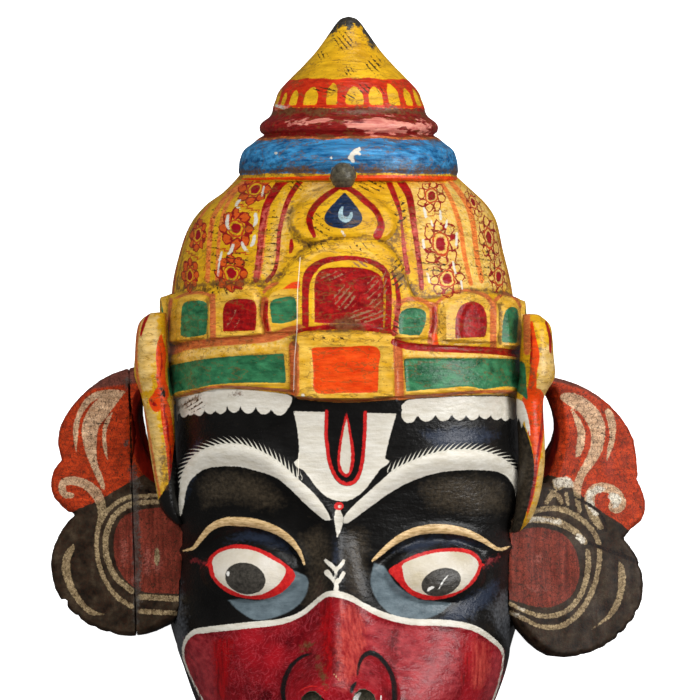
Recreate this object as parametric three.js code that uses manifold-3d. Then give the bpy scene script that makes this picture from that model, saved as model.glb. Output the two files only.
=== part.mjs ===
import * as THREE from 'three';
import { mergeVertices } from 'three/addons/utils/BufferGeometryUtils.js';
import Module from 'manifold-3d';

const wasm = await Module();
wasm.setup();
const { Manifold, Mesh } = wasm;

// The mask lies on its back: X to the viewer's right, Y to the crown tip, Z out of the face.
// All sizes are in millimetres.

// Overall sizes
const TIP_Y = 283;
const CHIN_Y = -283;
const HEAD_X = -2;

// Outlines are drawn on a flat pattern. One pattern unit is UNIT millimetres, u counts to the
// right and v counts down the face.
const UNIT = 0.664;
const PATTERN_MIDDLE = 348;
const PATTERN_LEVEL = 438.5;
const across = (u) => (u - PATTERN_MIDDLE) * UNIT;
const up = (v) => (PATTERN_LEVEL - v) * UNIT;

// Cross sections of the head: half widths to the left and right, depth, and squareness
const SECTIONS = [
  { y: 182, left: 66, right: 68, depth: 66, square: 2 },
  { y: 165, left: 82, right: 87, depth: 85, square: 2.05 },
  { y: 156, left: 93.8, right: 95.5, depth: 94, square: 2.1 },
  { y: 145, left: 103, right: 101.8, depth: 102, square: 2.15 },
  { y: 125, left: 111.2, right: 106.5, depth: 112, square: 2.2 },
  { y: 96, left: 116.7, right: 113, depth: 119, square: 2.4 },
  { y: 62, left: 116, right: 115, depth: 121, square: 2.6 },
  { y: 26, left: 116, right: 117, depth: 120, square: 2.8 },
  { y: -20, left: 116, right: 118, depth: 116, square: 2.8 },
  { y: -60, left: 116.5, right: 118, depth: 112, square: 2.7 },
  { y: -89, left: 118, right: 118, depth: 111, square: 2.6 },
  { y: -119, left: 118.5, right: 116.5, depth: 114, square: 2.45 },
  { y: -134, left: 115, right: 113, depth: 118, square: 2.35 },
  { y: -153, left: 107.5, right: 108, depth: 126, square: 2.2 },
  { y: -174, left: 99.5, right: 100.5, depth: 133, square: 2.15 },
  { y: -195, left: 91.5, right: 92, depth: 137, square: 2.1 },
  { y: -240, left: 76, right: 76, depth: 135, square: 2.1 },
  { y: -283, left: 61, right: 61, depth: 125, square: 2.1 },
];
const HEAD_TOP = 182;
const CHIN_START = -195;
const JAW_START = -208;
const CHIN_ROUND = -250;
const HEAD_CURVE = 2.2;
const JAW_CURVE = 2.5;

// Crown band with its groove
const BAND_TOP = 90.5;
const BAND_BOTTOM = 28;
const BAND_PROUD = 5;
const BAND_EDGE = 1;
const GROOVE_Y = 62;
const GROOVE_DEEP = 2.5;
const GROOVE_HALF = 3;

// Hollow inside
const WALL_SIDE = 15;
const WALL_FRONT = 24;
const HOLLOW_TOP = 166;
const HOLLOW_BOTTOM = -262;
const HOLLOW_TOP_START = 110;
const HOLLOW_BOTTOM_START = -190;
const OPEN_BELOW = 10;

// Ear ornaments
const BOARD_THICK = 22;
const BOARD_EDGE = 4;
const BOARD_FRONT = 50;
const BOARD_HINGE = 134;
const BOARD_SWEEP = 0.3;
const BOARD_STRETCH = 1.013;
const BOARD_ROUND = 0.7;
const FIT_GAP = 0.3;
const SEAM_GAP = 0.5;

// How finely the surfaces are divided
const HEAD_COLUMNS = { front: 30, side: 3 };
const CROWN_COLUMNS = { front: 16, side: 2 };
const FRONT_SHARE = 0.92;
const HEAD_STEPS = { crown: 8, face: 40, chin: 5 };
const CROWN_STEPS = 8;
const HOLLOW_STEPS = { top: 5, middle: 11, bottom: 5, around: 14 };
const EAR_SIDES = 10;
const FINIAL_SIDES = 28;

const wood = (name, colour, roughness) => {
  const material = new THREE.MeshStandardMaterial({ color: colour, roughness, metalness: 0 });
  material.name = name;
  return material;
};
const FACE_PAINT = wood('painted_wood', 0x8a2a24, 0.4);
const BOARD_PAINT = wood('painted_board', 0xb8432c, 0.55);

// Turns a geometry into a solid that can be joined and cut.
function solidOf(geometry) {
  const bare = new THREE.BufferGeometry();
  bare.setAttribute('position', geometry.getAttribute('position').clone());
  if (geometry.index) bare.setIndex(geometry.index.clone());
  const merged = mergeVertices(bare, 1e-4);
  const triangles = [];
  const index = merged.index.array;
  for (let i = 0; i < index.length; i += 3) {
    const [a, b, c] = [index[i], index[i + 1], index[i + 2]];
    if (a !== b && b !== c && c !== a) triangles.push(a, b, c);
  }
  return new Manifold(
    new Mesh({
      numProp: 3,
      vertProperties: Float32Array.from(merged.getAttribute('position').array),
      triVerts: Uint32Array.from(triangles),
    }),
  );
}

// Turns a finished solid into a named mesh.
function meshOf(solid, name, material) {
  const { vertProperties, triVerts, numProp } = solid.getMesh();
  const points = new Float32Array((vertProperties.length / numProp) * 3);
  for (let i = 0; i < points.length / 3; i += 1) {
    for (let axis = 0; axis < 3; axis += 1) {
      points[3 * i + axis] = vertProperties[numProp * i + axis];
    }
  }
  const geometry = new THREE.BufferGeometry();
  geometry.setAttribute('position', new THREE.BufferAttribute(points, 3));
  geometry.setIndex(Array.from(triVerts));
  geometry.computeVertexNormals();
  const mesh = new THREE.Mesh(geometry, material);
  mesh.name = name;
  return mesh;
}

// Reads a value between the rows of a table sorted by falling y, with smooth joints.
function smoothAt(rows, y, key) {
  const last = rows.length - 1;
  if (y >= rows[0].y) return rows[0][key];
  if (y <= rows[last].y) return rows[last][key];
  let i = 0;
  while (rows[i + 1].y > y) i += 1;
  const slope = (k) => {
    const before = rows[Math.max(k - 1, 0)];
    const after = rows[Math.min(k + 1, last)];
    return (after[key] - before[key]) / (after.y - before.y);
  };
  const step = rows[i + 1].y - rows[i].y;
  const t = (y - rows[i].y) / step;
  const t2 = t * t;
  const t3 = t2 * t;
  return (
    (2 * t3 - 3 * t2 + 1) * rows[i][key] +
    (t3 - 2 * t2 + t) * step * slope(i) +
    (3 * t2 - 2 * t3) * rows[i + 1][key] +
    (t3 - t2) * step * slope(i + 1)
  );
}

// Falls from 1 to 0 along a rounded curve while y runs from start to end.
function closing(y, start, end, power) {
  const share = THREE.MathUtils.clamp((y - start) / (end - start), 0, 1);
  return (1 - share ** power) ** (1 / power);
}

// Half widths, depth and squareness of the head at one height
function sectionAt(y) {
  const narrow = closing(y, CHIN_START, CHIN_Y, HEAD_CURVE);
  const shallow = closing(y, JAW_START, CHIN_Y, JAW_CURVE);
  return {
    left: smoothAt(SECTIONS, y, 'left') * narrow,
    right: smoothAt(SECTIONS, y, 'right') * narrow,
    depth: smoothAt(SECTIONS, y, 'depth') * shallow,
    square: smoothAt(SECTIONS, y, 'square'),
  };
}

// Points from the left rim over the front to the right rim, as shares of width and depth
function columnShares(square, columns) {
  const edge = (1 - FRONT_SHARE ** square) ** (1 / square);
  const shares = [];
  for (let i = 0; i <= columns.front; i += 1) {
    const u = FRONT_SHARE * ((2 * i) / columns.front - 1);
    shares.push({ u, w: (1 - Math.abs(u) ** square) ** (1 / square) });
  }
  for (let i = 1; i <= columns.side; i += 1) {
    const w = edge * (1 - i / columns.side);
    const u = (1 - w ** square) ** (1 / square);
    shares.push({ u, w });
    shares.unshift({ u: -u, w });
  }
  return shares;
}

// One row of points across the head. raise(x, y) is the height added along the surface normal.
function headRow(y, columns, grow, raise) {
  const { left, right, depth, square } = sectionAt(y);
  const deep = Math.max(depth + grow, 0.01);
  return columnShares(square, columns).map(({ u, w }) => {
    const half = Math.max((u < 0 ? left : right) + grow, 0.01);
    const normal = new THREE.Vector2(
      (Math.sign(u) * Math.abs(u) ** (square - 1)) / half,
      w ** (square - 1) / deep,
    ).normalize();
    const x = HEAD_X + u * half;
    const lift = raise(x, y);
    return new THREE.Vector3(x + normal.x * lift, y, w * deep + normal.y * lift);
  });
}

// Skins rows of points into a closed body. Each row closes on itself, and fans close the ends.
function skin(rows) {
  const wide = rows[0].length;
  const points = rows.flat();
  const faces = [];
  const at = (row, column) => row * wide + (column % wide);
  for (let row = 0; row + 1 < rows.length; row += 1) {
    for (let column = 0; column < wide; column += 1) {
      const [a, b] = [at(row, column), at(row, column + 1)];
      const [c, d] = [at(row + 1, column), at(row + 1, column + 1)];
      faces.push(a, c, b, b, c, d);
    }
  }
  for (const [row, turned] of [[0, true], [rows.length - 1, false]]) {
    const centre = new THREE.Vector3();
    rows[row].forEach((point) => centre.addScaledVector(point, 1 / wide));
    points.push(centre);
    for (let column = 0; column < wide; column += 1) {
      const [a, b] = [at(row, column), at(row, column + 1)];
      faces.push(points.length - 1, turned ? a : b, turned ? b : a);
    }
  }
  const geometry = new THREE.BufferGeometry().setFromPoints(points);
  geometry.setIndex(faces);
  return solidOf(geometry);
}

// Even steps from one height to another
function steps(from, to, count) {
  return Array.from({ length: count + 1 }, (_, i) => from + ((to - from) * i) / count);
}

// Distance from a spot to a path of points
function distanceTo(path, x, y) {
  let nearest = Infinity;
  for (let i = 0; i + 1 < path.length; i += 1) {
    const [ax, ay] = path[i];
    const [bx, by] = path[i + 1];
    const [dx, dy] = [bx - ax, by - ay];
    const along = ((x - ax) * dx + (y - ay) * dy) / (dx * dx + dy * dy);
    const t = THREE.MathUtils.clamp(along, 0, 1);
    nearest = Math.min(nearest, Math.hypot(x - ax - t * dx, y - ay - t * dy));
  }
  return nearest;
}

// Long ridges and furrows of the face: height, half width and path on the pattern
const RIDGES = [
  { rise: 5, wide: 9, path: [[178, 512], [190, 474], [211, 454], [235, 451], [265, 458], [292, 482], [326, 515]] },
  { rise: 5, wide: 9, path: [[350, 514], [378, 487], [408, 468], [442, 459], [482, 459], [508, 470], [521, 505]] },
  { rise: 2.2, wide: 3.5, path: [[190, 549], [210, 529], [232, 520], [257, 521], [281, 533], [302, 556]] },
  { rise: 2.2, wide: 3.5, path: [[374, 560], [384, 549], [406, 533], [439, 525], [466, 531], [505, 548]] },
  { rise: 2, wide: 5, path: [[190, 636], [235, 628], [270, 623], [300, 612], [322, 594]] },
  { rise: 2, wide: 5, path: [[352, 598], [374, 609], [397, 617], [450, 621], [478, 627], [500, 645]] },
  { rise: 5, wide: 9, path: [[262, 742], [300, 748], [345, 742], [390, 748], [428, 742]] },
  { rise: 5, wide: 9, path: [[280, 776], [312, 783], [345, 785], [378, 783], [410, 776]] },
  { rise: -6, wide: 4, path: [[256, 752], [290, 760], [345, 762], [400, 760], [434, 752]] },
].map((ridge) => ({ ...ridge, path: ridge.path.map(([u, v]) => [across(u), up(v)]) }));

// Rounded swellings and hollows of the face, on the pattern
const SWELLINGS = [
  { u: 242, v: 540, rise: -6, wide: 32, high: 22 },
  { u: 440, v: 538, rise: -6, wide: 32, high: 22 },
  { u: 243, v: 670, rise: 6, wide: 36, high: 34 },
  { u: 449, v: 670, rise: 6, wide: 36, high: 34 },
  { u: 344, v: 818, rise: 6, wide: 30, high: 18 },
];

// Eyeballs: half ellipses that stand out of the sockets
const EYES = [
  { u: 251, v: 572, rise: 9, wide: 34, high: 20 },
  { u: 435, v: 574, rise: 9, wide: 34, high: 20 },
];

const EYE_POWER = 0.8;

// Height of the nose above the face, its half width and its middle
const NOSE = [
  { y: -26, rise: 0, wide: 8, x: -7.7 },
  { y: -70, rise: 9, wide: 9, x: -8.7 },
  { y: -92, rise: 15, wide: 11, x: -8.2 },
  { y: -119, rise: 22, wide: 13, x: -7.2 },
  { y: -150, rise: 34, wide: 17, x: -5.7 },
  { y: -168, rise: 39, wide: 20, x: -5.2 },
  { y: -180, rise: 30, wide: 22, x: -5.2 },
  { y: -190, rise: 8, wide: 24, x: -5.2 },
  { y: -198, rise: 0, wide: 24, x: -5.2 },
];
const NOSE_POWER = 2.3;
const NOSE_FOOT = 0.32;

// Carved height at one spot of the face
function carving(x, y) {
  let height = 0;
  for (const { path, rise, wide } of RIDGES) {
    height += rise * Math.exp(-((distanceTo(path, x, y) / wide) ** 2));
  }
  for (const { u, v, rise, wide, high } of SWELLINGS) {
    height += rise * Math.exp(-(((x - across(u)) / wide) ** 2) - ((y - up(v)) / high) ** 2);
  }
  for (const { u, v, rise, wide, high } of EYES) {
    const out = ((x - across(u)) / wide) ** 2 + ((y - up(v)) / high) ** 2;
    height += rise * Math.max(1 - out, 0) ** EYE_POWER;
  }
  if (y < NOSE[0].y && y > NOSE[NOSE.length - 1].y) {
    const off = Math.abs(x - smoothAt(NOSE, y, 'x')) / smoothAt(NOSE, y, 'wide');
    const ridge = Math.exp(-(off ** NOSE_POWER));
    const foot = Math.exp(-((off / 2) ** 2));
    const rise = Math.max(smoothAt(NOSE, y, 'rise'), 0);
    height += rise * THREE.MathUtils.lerp(ridge, foot, NOSE_FOOT);
  }
  return height;
}

// Height of the crown band above the plain crown
function bandHeight(x, y) {
  if (y > BAND_TOP || y < BAND_BOTTOM) return 0;
  const groove = Math.max(1 - Math.abs(y - GROOVE_Y) / GROOVE_HALF, 0);
  return BAND_PROUD - GROOVE_DEEP * groove;
}

// Heights that crowd together towards the end of a rounded stretch
function rounding(from, to, count) {
  return steps(0, Math.PI / 2, count).map((turn) => from + (to - from) * Math.sin(turn));
}

// The head with its carved face, grown by a gap for the pieces that fit against it
const HEAD_ROWS = [
  ...steps(HEAD_TOP, BAND_TOP + BAND_EDGE, HEAD_STEPS.crown),
  ...steps(BAND_TOP, GROOVE_Y + GROOVE_HALF, 1),
  GROOVE_Y,
  ...steps(GROOVE_Y - GROOVE_HALF, BAND_BOTTOM, 1),
  ...steps(BAND_BOTTOM - BAND_EDGE, CHIN_ROUND, HEAD_STEPS.face),
  ...rounding(CHIN_ROUND, CHIN_Y, HEAD_STEPS.chin).slice(1),
];
function headSkin(gap) {
  return skin(HEAD_ROWS.map((y) => {
    const height = y >= BAND_BOTTOM ? bandHeight : carving;
    return headRow(y, HEAD_COLUMNS, 0, (x) => height(x, y) + gap);
  }));
}

// The hollow is the head's own shape drawn in by the wall, open at the back
function hollowRow(y) {
  const { left, right, depth, square } = sectionAt(y);
  const upper = closing(y, HOLLOW_TOP_START, HOLLOW_TOP, HEAD_CURVE);
  const lower = closing(y, HOLLOW_BOTTOM_START, HOLLOW_BOTTOM, HEAD_CURVE);
  const size = Math.max(upper * lower, 0.01);
  const row = steps(-Math.PI / 2, Math.PI / 2, HOLLOW_STEPS.around).map((turn) => {
    const [s, c] = [Math.sin(turn), Math.max(Math.cos(turn), 0)];
    const out = (Math.abs(s) ** square + c ** square) ** (-1 / square);
    const half = ((s < 0 ? left : right) - WALL_SIDE) * size;
    return new THREE.Vector3(HEAD_X + half * out * s, y, (depth - WALL_FRONT) * size * out * c);
  });
  const openEnd = (point) => new THREE.Vector3(point.x, y, -OPEN_BELOW);
  return [openEnd(row[0]), ...row, openEnd(row[row.length - 1])];
}
const hollow = skin([
  ...rounding(HOLLOW_TOP_START, HOLLOW_TOP, HOLLOW_STEPS.top).reverse(),
  ...steps(HOLLOW_TOP_START, HOLLOW_BOTTOM_START, HOLLOW_STEPS.middle).slice(1, -1),
  ...rounding(HOLLOW_BOTTOM_START, HOLLOW_BOTTOM, HOLLOW_STEPS.bottom),
].map(hollowRow));

// Half of a turned finial: cone, collar, red ring and blue ring
const FINIAL_X = 0.4;
const FINIAL_Z = 10;
const FINIAL_PROFILE = [
  [0, TIP_Y],
  [5, 281.5],
  [8.2, 278.5],
  [11.8, 273.5],
  [21.2, 260.3],
  [30.3, 250.1],
  [36.9, 243.5],
  [46.4, 233.4],
  [49.3, 226.7],
  [51.1, 221.8],
  [51.7, 218.6],
  [53.7, 215.3],
  [58.5, 211.7],
  [60.2, 208.5],
  [59.5, 205.2],
  [57.2, 203.2],
  [60.5, 201.1],
  [64.8, 197.6],
  [70.5, 193.1],
  [72.9, 187.5],
  [73.8, 182],
  [73.2, 176.5],
  [66, 170],
  [0, 168],
];
function finial() {
  const profile = FINIAL_PROFILE.map(([r, y]) => new THREE.Vector2(r, y)).reverse();
  const turned = new THREE.LatheGeometry(profile, FINIAL_SIDES);
  turned.translate(FINIAL_X, 0, FINIAL_Z);
  const under = new THREE.BoxGeometry(TIP_Y, 2 * TIP_Y, TIP_Y);
  under.translate(0, 0, -TIP_Y / 2);
  return solidOf(turned).subtract(solidOf(under));
}

// Ears: long, drawn-out ovals on the sides of the head
const LEFT_EAR = [
  { y: 84, x: -123.5, z: 62, r: 5 },
  { y: 78, x: -127.4, z: 63, r: 9.5 },
  { y: 69, x: -128.5, z: 64, r: 11.5 },
  { y: 55, x: -129.3, z: 64, r: 12.5 },
  { y: 42, x: -130, z: 64, r: 12.5 },
  { y: 26, x: -126.7, z: 63, r: 10.5 },
  { y: -5, x: -123.7, z: 62, r: 9 },
  { y: -33, x: -120.5, z: 61, r: 7.5 },
  { y: -48, x: -118, z: 61, r: 6 },
  { y: -58, x: -112, z: 61, r: 2.5 },
];
const RIGHT_EAR = [
  { y: 83, x: 121.5, z: 62, r: 5 },
  { y: 76, x: 125, z: 63, r: 9.5 },
  { y: 67, x: 125.8, z: 64, r: 10.5 },
  { y: 54, x: 125.7, z: 64, r: 11.5 },
  { y: 41, x: 126, z: 64, r: 12 },
  { y: 31, x: 122, z: 64, r: 10 },
  { y: 22, x: 120.3, z: 63, r: 9 },
  { y: -10, x: 121.4, z: 62, r: 9 },
  { y: -34, x: 119, z: 61, r: 8 },
  { y: -53, x: 116, z: 61, r: 6 },
  { y: -63, x: 111, z: 61, r: 2.5 },
];
const EAR_DEEP = 1.5;
function ear(rows, grow) {
  const turns = steps(Math.PI, 3 * Math.PI, EAR_SIDES).slice(0, -1);
  return skin(rows.map(({ y, x, z, r }) => turns.map((turn) => {
    const reach = r + grow;
    return new THREE.Vector3(x + reach * Math.cos(turn), y, z - EAR_DEEP * reach * Math.sin(turn));
  })));
}

// Raised panels of the crown: how far each stands out of the plain crown
const CREST_TOP = 148;
const CREST_PROUD = 7;
const ARCH_PROUD = 7.5;
const BLOCK_PROUD = 10.5;
const PANEL_BELOW = 8;
const PANEL_FROM = 40;
const PANEL_TO = 160;
const ARCH_SHOULDER = 0.32;
const CURVE_STEPS = 6;

// A straight-sided block over a pattern outline
function prism(shape, from, to) {
  const geometry = new THREE.ExtrudeGeometry(shape, {
    depth: to - from,
    bevelEnabled: false,
    curveSegments: CURVE_STEPS,
  });
  geometry.translate(0, 0, from);
  return solidOf(geometry);
}

// A plain crown shape grown outward, from which the raised panels are cut
function grownCrown(grow) {
  const heights = steps(CREST_TOP, BAND_BOTTOM - PANEL_BELOW, CROWN_STEPS);
  return skin(heights.map((y) => headRow(y, CROWN_COLUMNS, grow, () => 0)));
}

// Panel outline with an arched top
function archShape(left, right, top, bottom) {
  const shape = new THREE.Shape();
  const shoulder = (right - left) * ARCH_SHOULDER;
  shape.moveTo(across(left), up(bottom));
  shape.lineTo(across(right), up(bottom));
  shape.lineTo(across(right), up(top + shoulder));
  shape.quadraticCurveTo(across(right - 2), up(top), across((left + right) / 2), up(top));
  shape.quadraticCurveTo(across(left + 2), up(top), across(left), up(top + shoulder));
  return shape;
}

// Tall stepped arch in the middle of the crown
function crestShape() {
  const shape = new THREE.Shape();
  shape.moveTo(across(266), up(338));
  shape.lineTo(across(430), up(340));
  shape.lineTo(across(430), up(304));
  shape.quadraticCurveTo(across(410), up(296), across(404), up(268));
  shape.quadraticCurveTo(across(396), up(238), across(349), up(236));
  shape.quadraticCurveTo(across(308), up(238), across(298), up(266));
  shape.quadraticCurveTo(across(284), up(284), across(266), up(292));
  return shape;
}

// Arched panels on the band: left, right, top and bottom on the pattern
const SIDE_ARCHES = [
  [174, 211, 294, 343],
  [214, 263, 284, 339],
  [437, 492, 293, 346],
  [496, 522, 294, 349],
];

function crownPanels() {
  const crest = prism(crestShape(), PANEL_FROM, PANEL_TO).intersect(grownCrown(CREST_PROUD));
  const arches = SIDE_ARCHES.map(([left, right, top, bottom]) =>
    prism(archShape(left, right, top, bottom), PANEL_FROM, PANEL_TO));
  const row = Manifold.union(arches).intersect(grownCrown(ARCH_PROUD));
  const block = new THREE.Shape();
  block.moveTo(across(297), up(334));
  block.lineTo(across(295), up(401));
  block.lineTo(across(396), up(401));
  block.lineTo(across(393), up(334));
  const middle = prism(block, PANEL_FROM, PANEL_TO).intersect(grownCrown(BLOCK_PROUD));
  return Manifold.union([crest, row, middle]);
}

// An egg-shaped body
function egg(x, y, z, wide, high, deep, fine) {
  const geometry = new THREE.SphereGeometry(1, fine, fine / 2);
  geometry.scale(wide, high, deep);
  geometry.translate(x, y, z);
  return solidOf(geometry);
}

// Wings of the nose, nostrils, jewel boss and knob
const NOSE_WINGS = [[308, 688], [374, 687]].map(([u, v]) => egg(across(u), up(v), 120, 17, 20, 33, 12));
const NOSTRILS = [[314, 701], [366, 701]].map(([u, v]) => egg(across(u), up(v), 154, 8, 8, 14, 8));
const JEWEL_BOSS = egg(across(345), up(212), 96, 24, 24, 15, 12);
const KNOB = egg(across(343), up(176), 86, 8.5, 8.5, 8.5, 8);

const BODY = Manifold.union([
  headSkin(0),
  finial(),
  crownPanels(),
  ear(LEFT_EAR, 0),
  ear(RIGHT_EAR, 0),
  JEWEL_BOSS,
  KNOB,
  ...NOSE_WINGS,
]);
const MASK = BODY.subtract(Manifold.union([hollow, ...NOSTRILS]));

// The room that the ornaments leave for the head and the ears
const ROOM = Manifold.union([headSkin(FIT_GAP), ear(LEFT_EAR, FIT_GAP), ear(RIGHT_EAR, FIT_GAP)]);

// Outlines of the boards on the pattern: each list is one smooth run, and corners lie between
const RIGHT_OUTLINE = [
  [[530, 372], [553, 377], [577, 384], [600, 397], [620, 416], [634, 440], [638, 470], [639, 481]],
  [[639, 484], [644, 495], [646, 509], [642, 522], [632, 530]],
  [
    [624, 540], [634, 553], [641, 568], [644, 590], [639, 612], [625, 632],
    [604, 649], [577, 658], [553, 658], [534, 645], [518, 626],
  ],
  [[500, 600], [500, 488]],
  [[549, 484], [556, 468], [560, 450], [561, 430], [559, 412], [551, 390], [530, 386]],
];
const LEFT_OUTLINE = [
  [[172, 622], [150, 633], [130, 638], [110, 635], [88, 627], [70, 613]],
  [[62, 604], [54, 590], [50, 567], [53, 548], [62, 530], [74, 515]],
  [[67, 513], [54, 500], [50, 486], [53, 471], [61, 461]],
  [[57, 446], [59, 428], [70, 408], [89, 388], [111, 374], [138, 366], [160, 364]],
  [[160, 384], [143, 394], [134, 411], [131, 433], [133, 452], [139, 470], [148, 484]],
  [[190, 488], [190, 600]],
];

function outline(runs, side) {
  const turnBack = Math.cos(BOARD_SWEEP);
  const place = ([u, v]) => {
    const x = across(u) * BOARD_STRETCH - side * BOARD_HINGE;
    return new THREE.Vector2(x / turnBack, up(v));
  };
  const points = runs.flatMap((run) => {
    const spots = run.map(place);
    return spots.length > 2 ? new THREE.SplineCurve(spots).getPoints(2 * (spots.length - 1)) : spots;
  });
  return new THREE.Shape(points);
}

// One ornament board, swept back from the head
function board(runs, side) {
  const geometry = new THREE.ExtrudeGeometry(outline(runs, side), {
    depth: BOARD_THICK - 2 * BOARD_EDGE,
    bevelEnabled: true,
    bevelThickness: BOARD_EDGE,
    bevelSize: BOARD_EDGE * BOARD_ROUND,
    bevelOffset: -BOARD_EDGE * BOARD_ROUND,
    bevelSegments: 1,
  });
  geometry.translate(0, 0, BOARD_EDGE - BOARD_THICK);
  geometry.rotateY(side * BOARD_SWEEP);
  geometry.translate(side * BOARD_HINGE, 0, BOARD_FRONT);
  return solidOf(geometry).subtract(ROOM);
}

// A block on one side of the straight seam of the left ornament
const SEAM_TOP = [128, 384];
const SEAM_BOTTOM = [135, 636];
const SEAM_BLOCK = 400;
function seamSide(side) {
  const block = new THREE.BoxGeometry(SEAM_BLOCK, 2 * SEAM_BLOCK, SEAM_BLOCK);
  block.translate((side * (SEAM_BLOCK + SEAM_GAP)) / 2, 0, 0);
  const from = new THREE.Vector2(across(SEAM_TOP[0]), up(SEAM_TOP[1]));
  const to = new THREE.Vector2(across(SEAM_BOTTOM[0]), up(SEAM_BOTTOM[1]));
  const lean = Math.atan2(to.x - from.x, from.y - to.y);
  block.rotateZ(lean);
  block.translate((from.x + to.x) / 2, (from.y + to.y) / 2, 0);
  return solidOf(block);
}

const LEFT_BOARD = board(LEFT_OUTLINE, -1);

const mask = new THREE.Group();
mask.name = 'hanuman_mask';
mask.add(
  meshOf(MASK, 'mask', FACE_PAINT),
  meshOf(LEFT_BOARD.intersect(seamSide(-1)), 'left_ear_ornament_outer', BOARD_PAINT),
  meshOf(LEFT_BOARD.intersect(seamSide(1)), 'left_ear_ornament_inner', BOARD_PAINT),
  meshOf(board(RIGHT_OUTLINE, 1), 'right_ear_ornament', BOARD_PAINT),
);

export default mask;
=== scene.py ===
import bpy
import numpy as np
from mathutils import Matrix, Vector


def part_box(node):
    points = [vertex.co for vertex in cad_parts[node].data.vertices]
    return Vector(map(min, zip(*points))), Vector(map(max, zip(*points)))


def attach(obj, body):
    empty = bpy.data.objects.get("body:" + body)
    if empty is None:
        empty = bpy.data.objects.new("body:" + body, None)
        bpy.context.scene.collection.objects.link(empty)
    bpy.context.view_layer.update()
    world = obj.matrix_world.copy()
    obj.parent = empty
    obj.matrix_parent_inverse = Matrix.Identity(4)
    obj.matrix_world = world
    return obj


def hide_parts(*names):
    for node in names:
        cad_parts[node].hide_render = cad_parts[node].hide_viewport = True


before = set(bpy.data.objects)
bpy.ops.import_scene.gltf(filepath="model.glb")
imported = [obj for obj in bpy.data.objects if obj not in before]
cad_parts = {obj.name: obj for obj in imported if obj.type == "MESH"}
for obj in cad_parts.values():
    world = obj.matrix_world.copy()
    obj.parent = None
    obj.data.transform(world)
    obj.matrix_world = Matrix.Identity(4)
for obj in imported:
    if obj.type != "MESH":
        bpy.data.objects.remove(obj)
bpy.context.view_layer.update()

bl_info = {
    "name": "Painted Monkey-God Mask",
    "version": (1, 0, 0),
    "blender": (4, 5, 0),
    "location": "3D View > Sidebar > Mask",
    "description": "Carves and paints a wooden monkey-god mask with a crown and ear ornaments",
    "category": "Object",
}

# The mask lies on its back: X to the viewer's right, Y to the crown tip, Z out of the face.
# The shaping functions work in millimetres, and a finished mesh is in metres.
MM = 0.001

# Everything painted or carved is drawn on one flat pattern. One pattern unit is UNIT
# millimetres at the height PLANE, u counts to the right and v down the face, and the pattern is
# thrown onto the wood from one point high above it.
UNIT = 0.664
PLANE = 80
THROWN_FROM = (1.33, 58.8, 6000)
PATTERN_MIDDLE = 350
# Where the origin of the scene lies on the pattern, at the height PLANE
PATTERN_ORIGIN = (348, 438.5)
# How deep a spot lies in a shape is worked out up to this many units from the shape's edge
REACH = 9

# Head: height, half widths to the left and right, depth, and squareness of each section
HEAD_X = -2
CHIN_Y = -283
HEAD_TOP = 182
SECTIONS = (
    (182, 66, 68, 66, 2),
    (165, 82, 87, 85, 2.05),
    (156, 93.8, 95.5, 94, 2.1),
    (145, 103, 101.8, 102, 2.15),
    (125, 111.2, 106.5, 112, 2.2),
    (96, 116.7, 113, 119, 2.4),
    (62, 116, 115, 121, 2.6),
    (26, 116, 117, 120, 2.8),
    (-20, 116, 118, 116, 2.8),
    (-60, 116.5, 118, 112, 2.7),
    (-89, 118, 118, 111, 2.6),
    (-119, 118.5, 116.5, 114, 2.45),
    (-134, 115, 113, 118, 2.35),
    (-153, 107.5, 108, 126, 2.2),
    (-174, 99.5, 100.5, 133, 2.15),
    (-195, 91.5, 92, 137, 2.1),
    (-240, 76, 76, 135, 2.1),
    (-283, 61, 61, 125, 2.1),
)
CHIN_START = -195
JAW_START = -208
HEAD_CURVE = 2.2
JAW_CURVE = 2.5
# The head's sheet: share of the columns on each flank, and half width that the others cover
FLANK_SHARE = 0.075
FRONT_SHARE = 0.92
# Beyond this share of the half width, and below this share of the depth, the pattern goes on
# round the side of the head
GRAZED_FROM = 0.97
GRAZED_DEEP = 0.36
# The crown's carving ends at this v of the pattern, the face's starts at this height in millimetres
CROWN_END = 416
FACE_START = 34
# The rows of points lie wider below this height, and the carving fades out over the chin
WIDE_ROWS_START = -200
CHIN_FADE = 8
# Marks of the gouge all over the head: rise and size. A section never shrinks to nothing.
GOUGE_RISE = 0.35
GOUGE_SIZE = 34
NO_SIZE = 0.01

# Hollow behind the face
HOLLOW_TOP = 166
HOLLOW_TOP_START = 110
HOLLOW_BOTTOM = -262
HOLLOW_BOTTOM_START = -190
# Its points: columns, rows at the round top, down the middle, and at the round bottom
HOLLOW_COLUMNS = 60
HOLLOW_ROWS = (23, 64, 24)
# Depth of its gouge marks for its width, and where it ends below the back
GOUGED_SHARE = 0.012
BELOW_BACK = -10

# Nose: shares of its ridge and of its wide foot, and down it the height, the rise above the face,
# the half width, and the middle
RIDGE_SHARE = 0.68
FOOT_SHARE = 0.32
NOSE = (
    (-26, 0, 8, -7.7),
    (-70, 9, 9, -8.7),
    (-92, 15, 11, -8.2),
    (-119, 22, 13, -7.2),
    (-150, 34, 17, -5.7),
    (-168, 39, 20, -5.2),
    (-180, 30, 22, -5.2),
    (-190, 8, 24, -5.2),
    (-198, 0, 24, -5.2),
)

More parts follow.
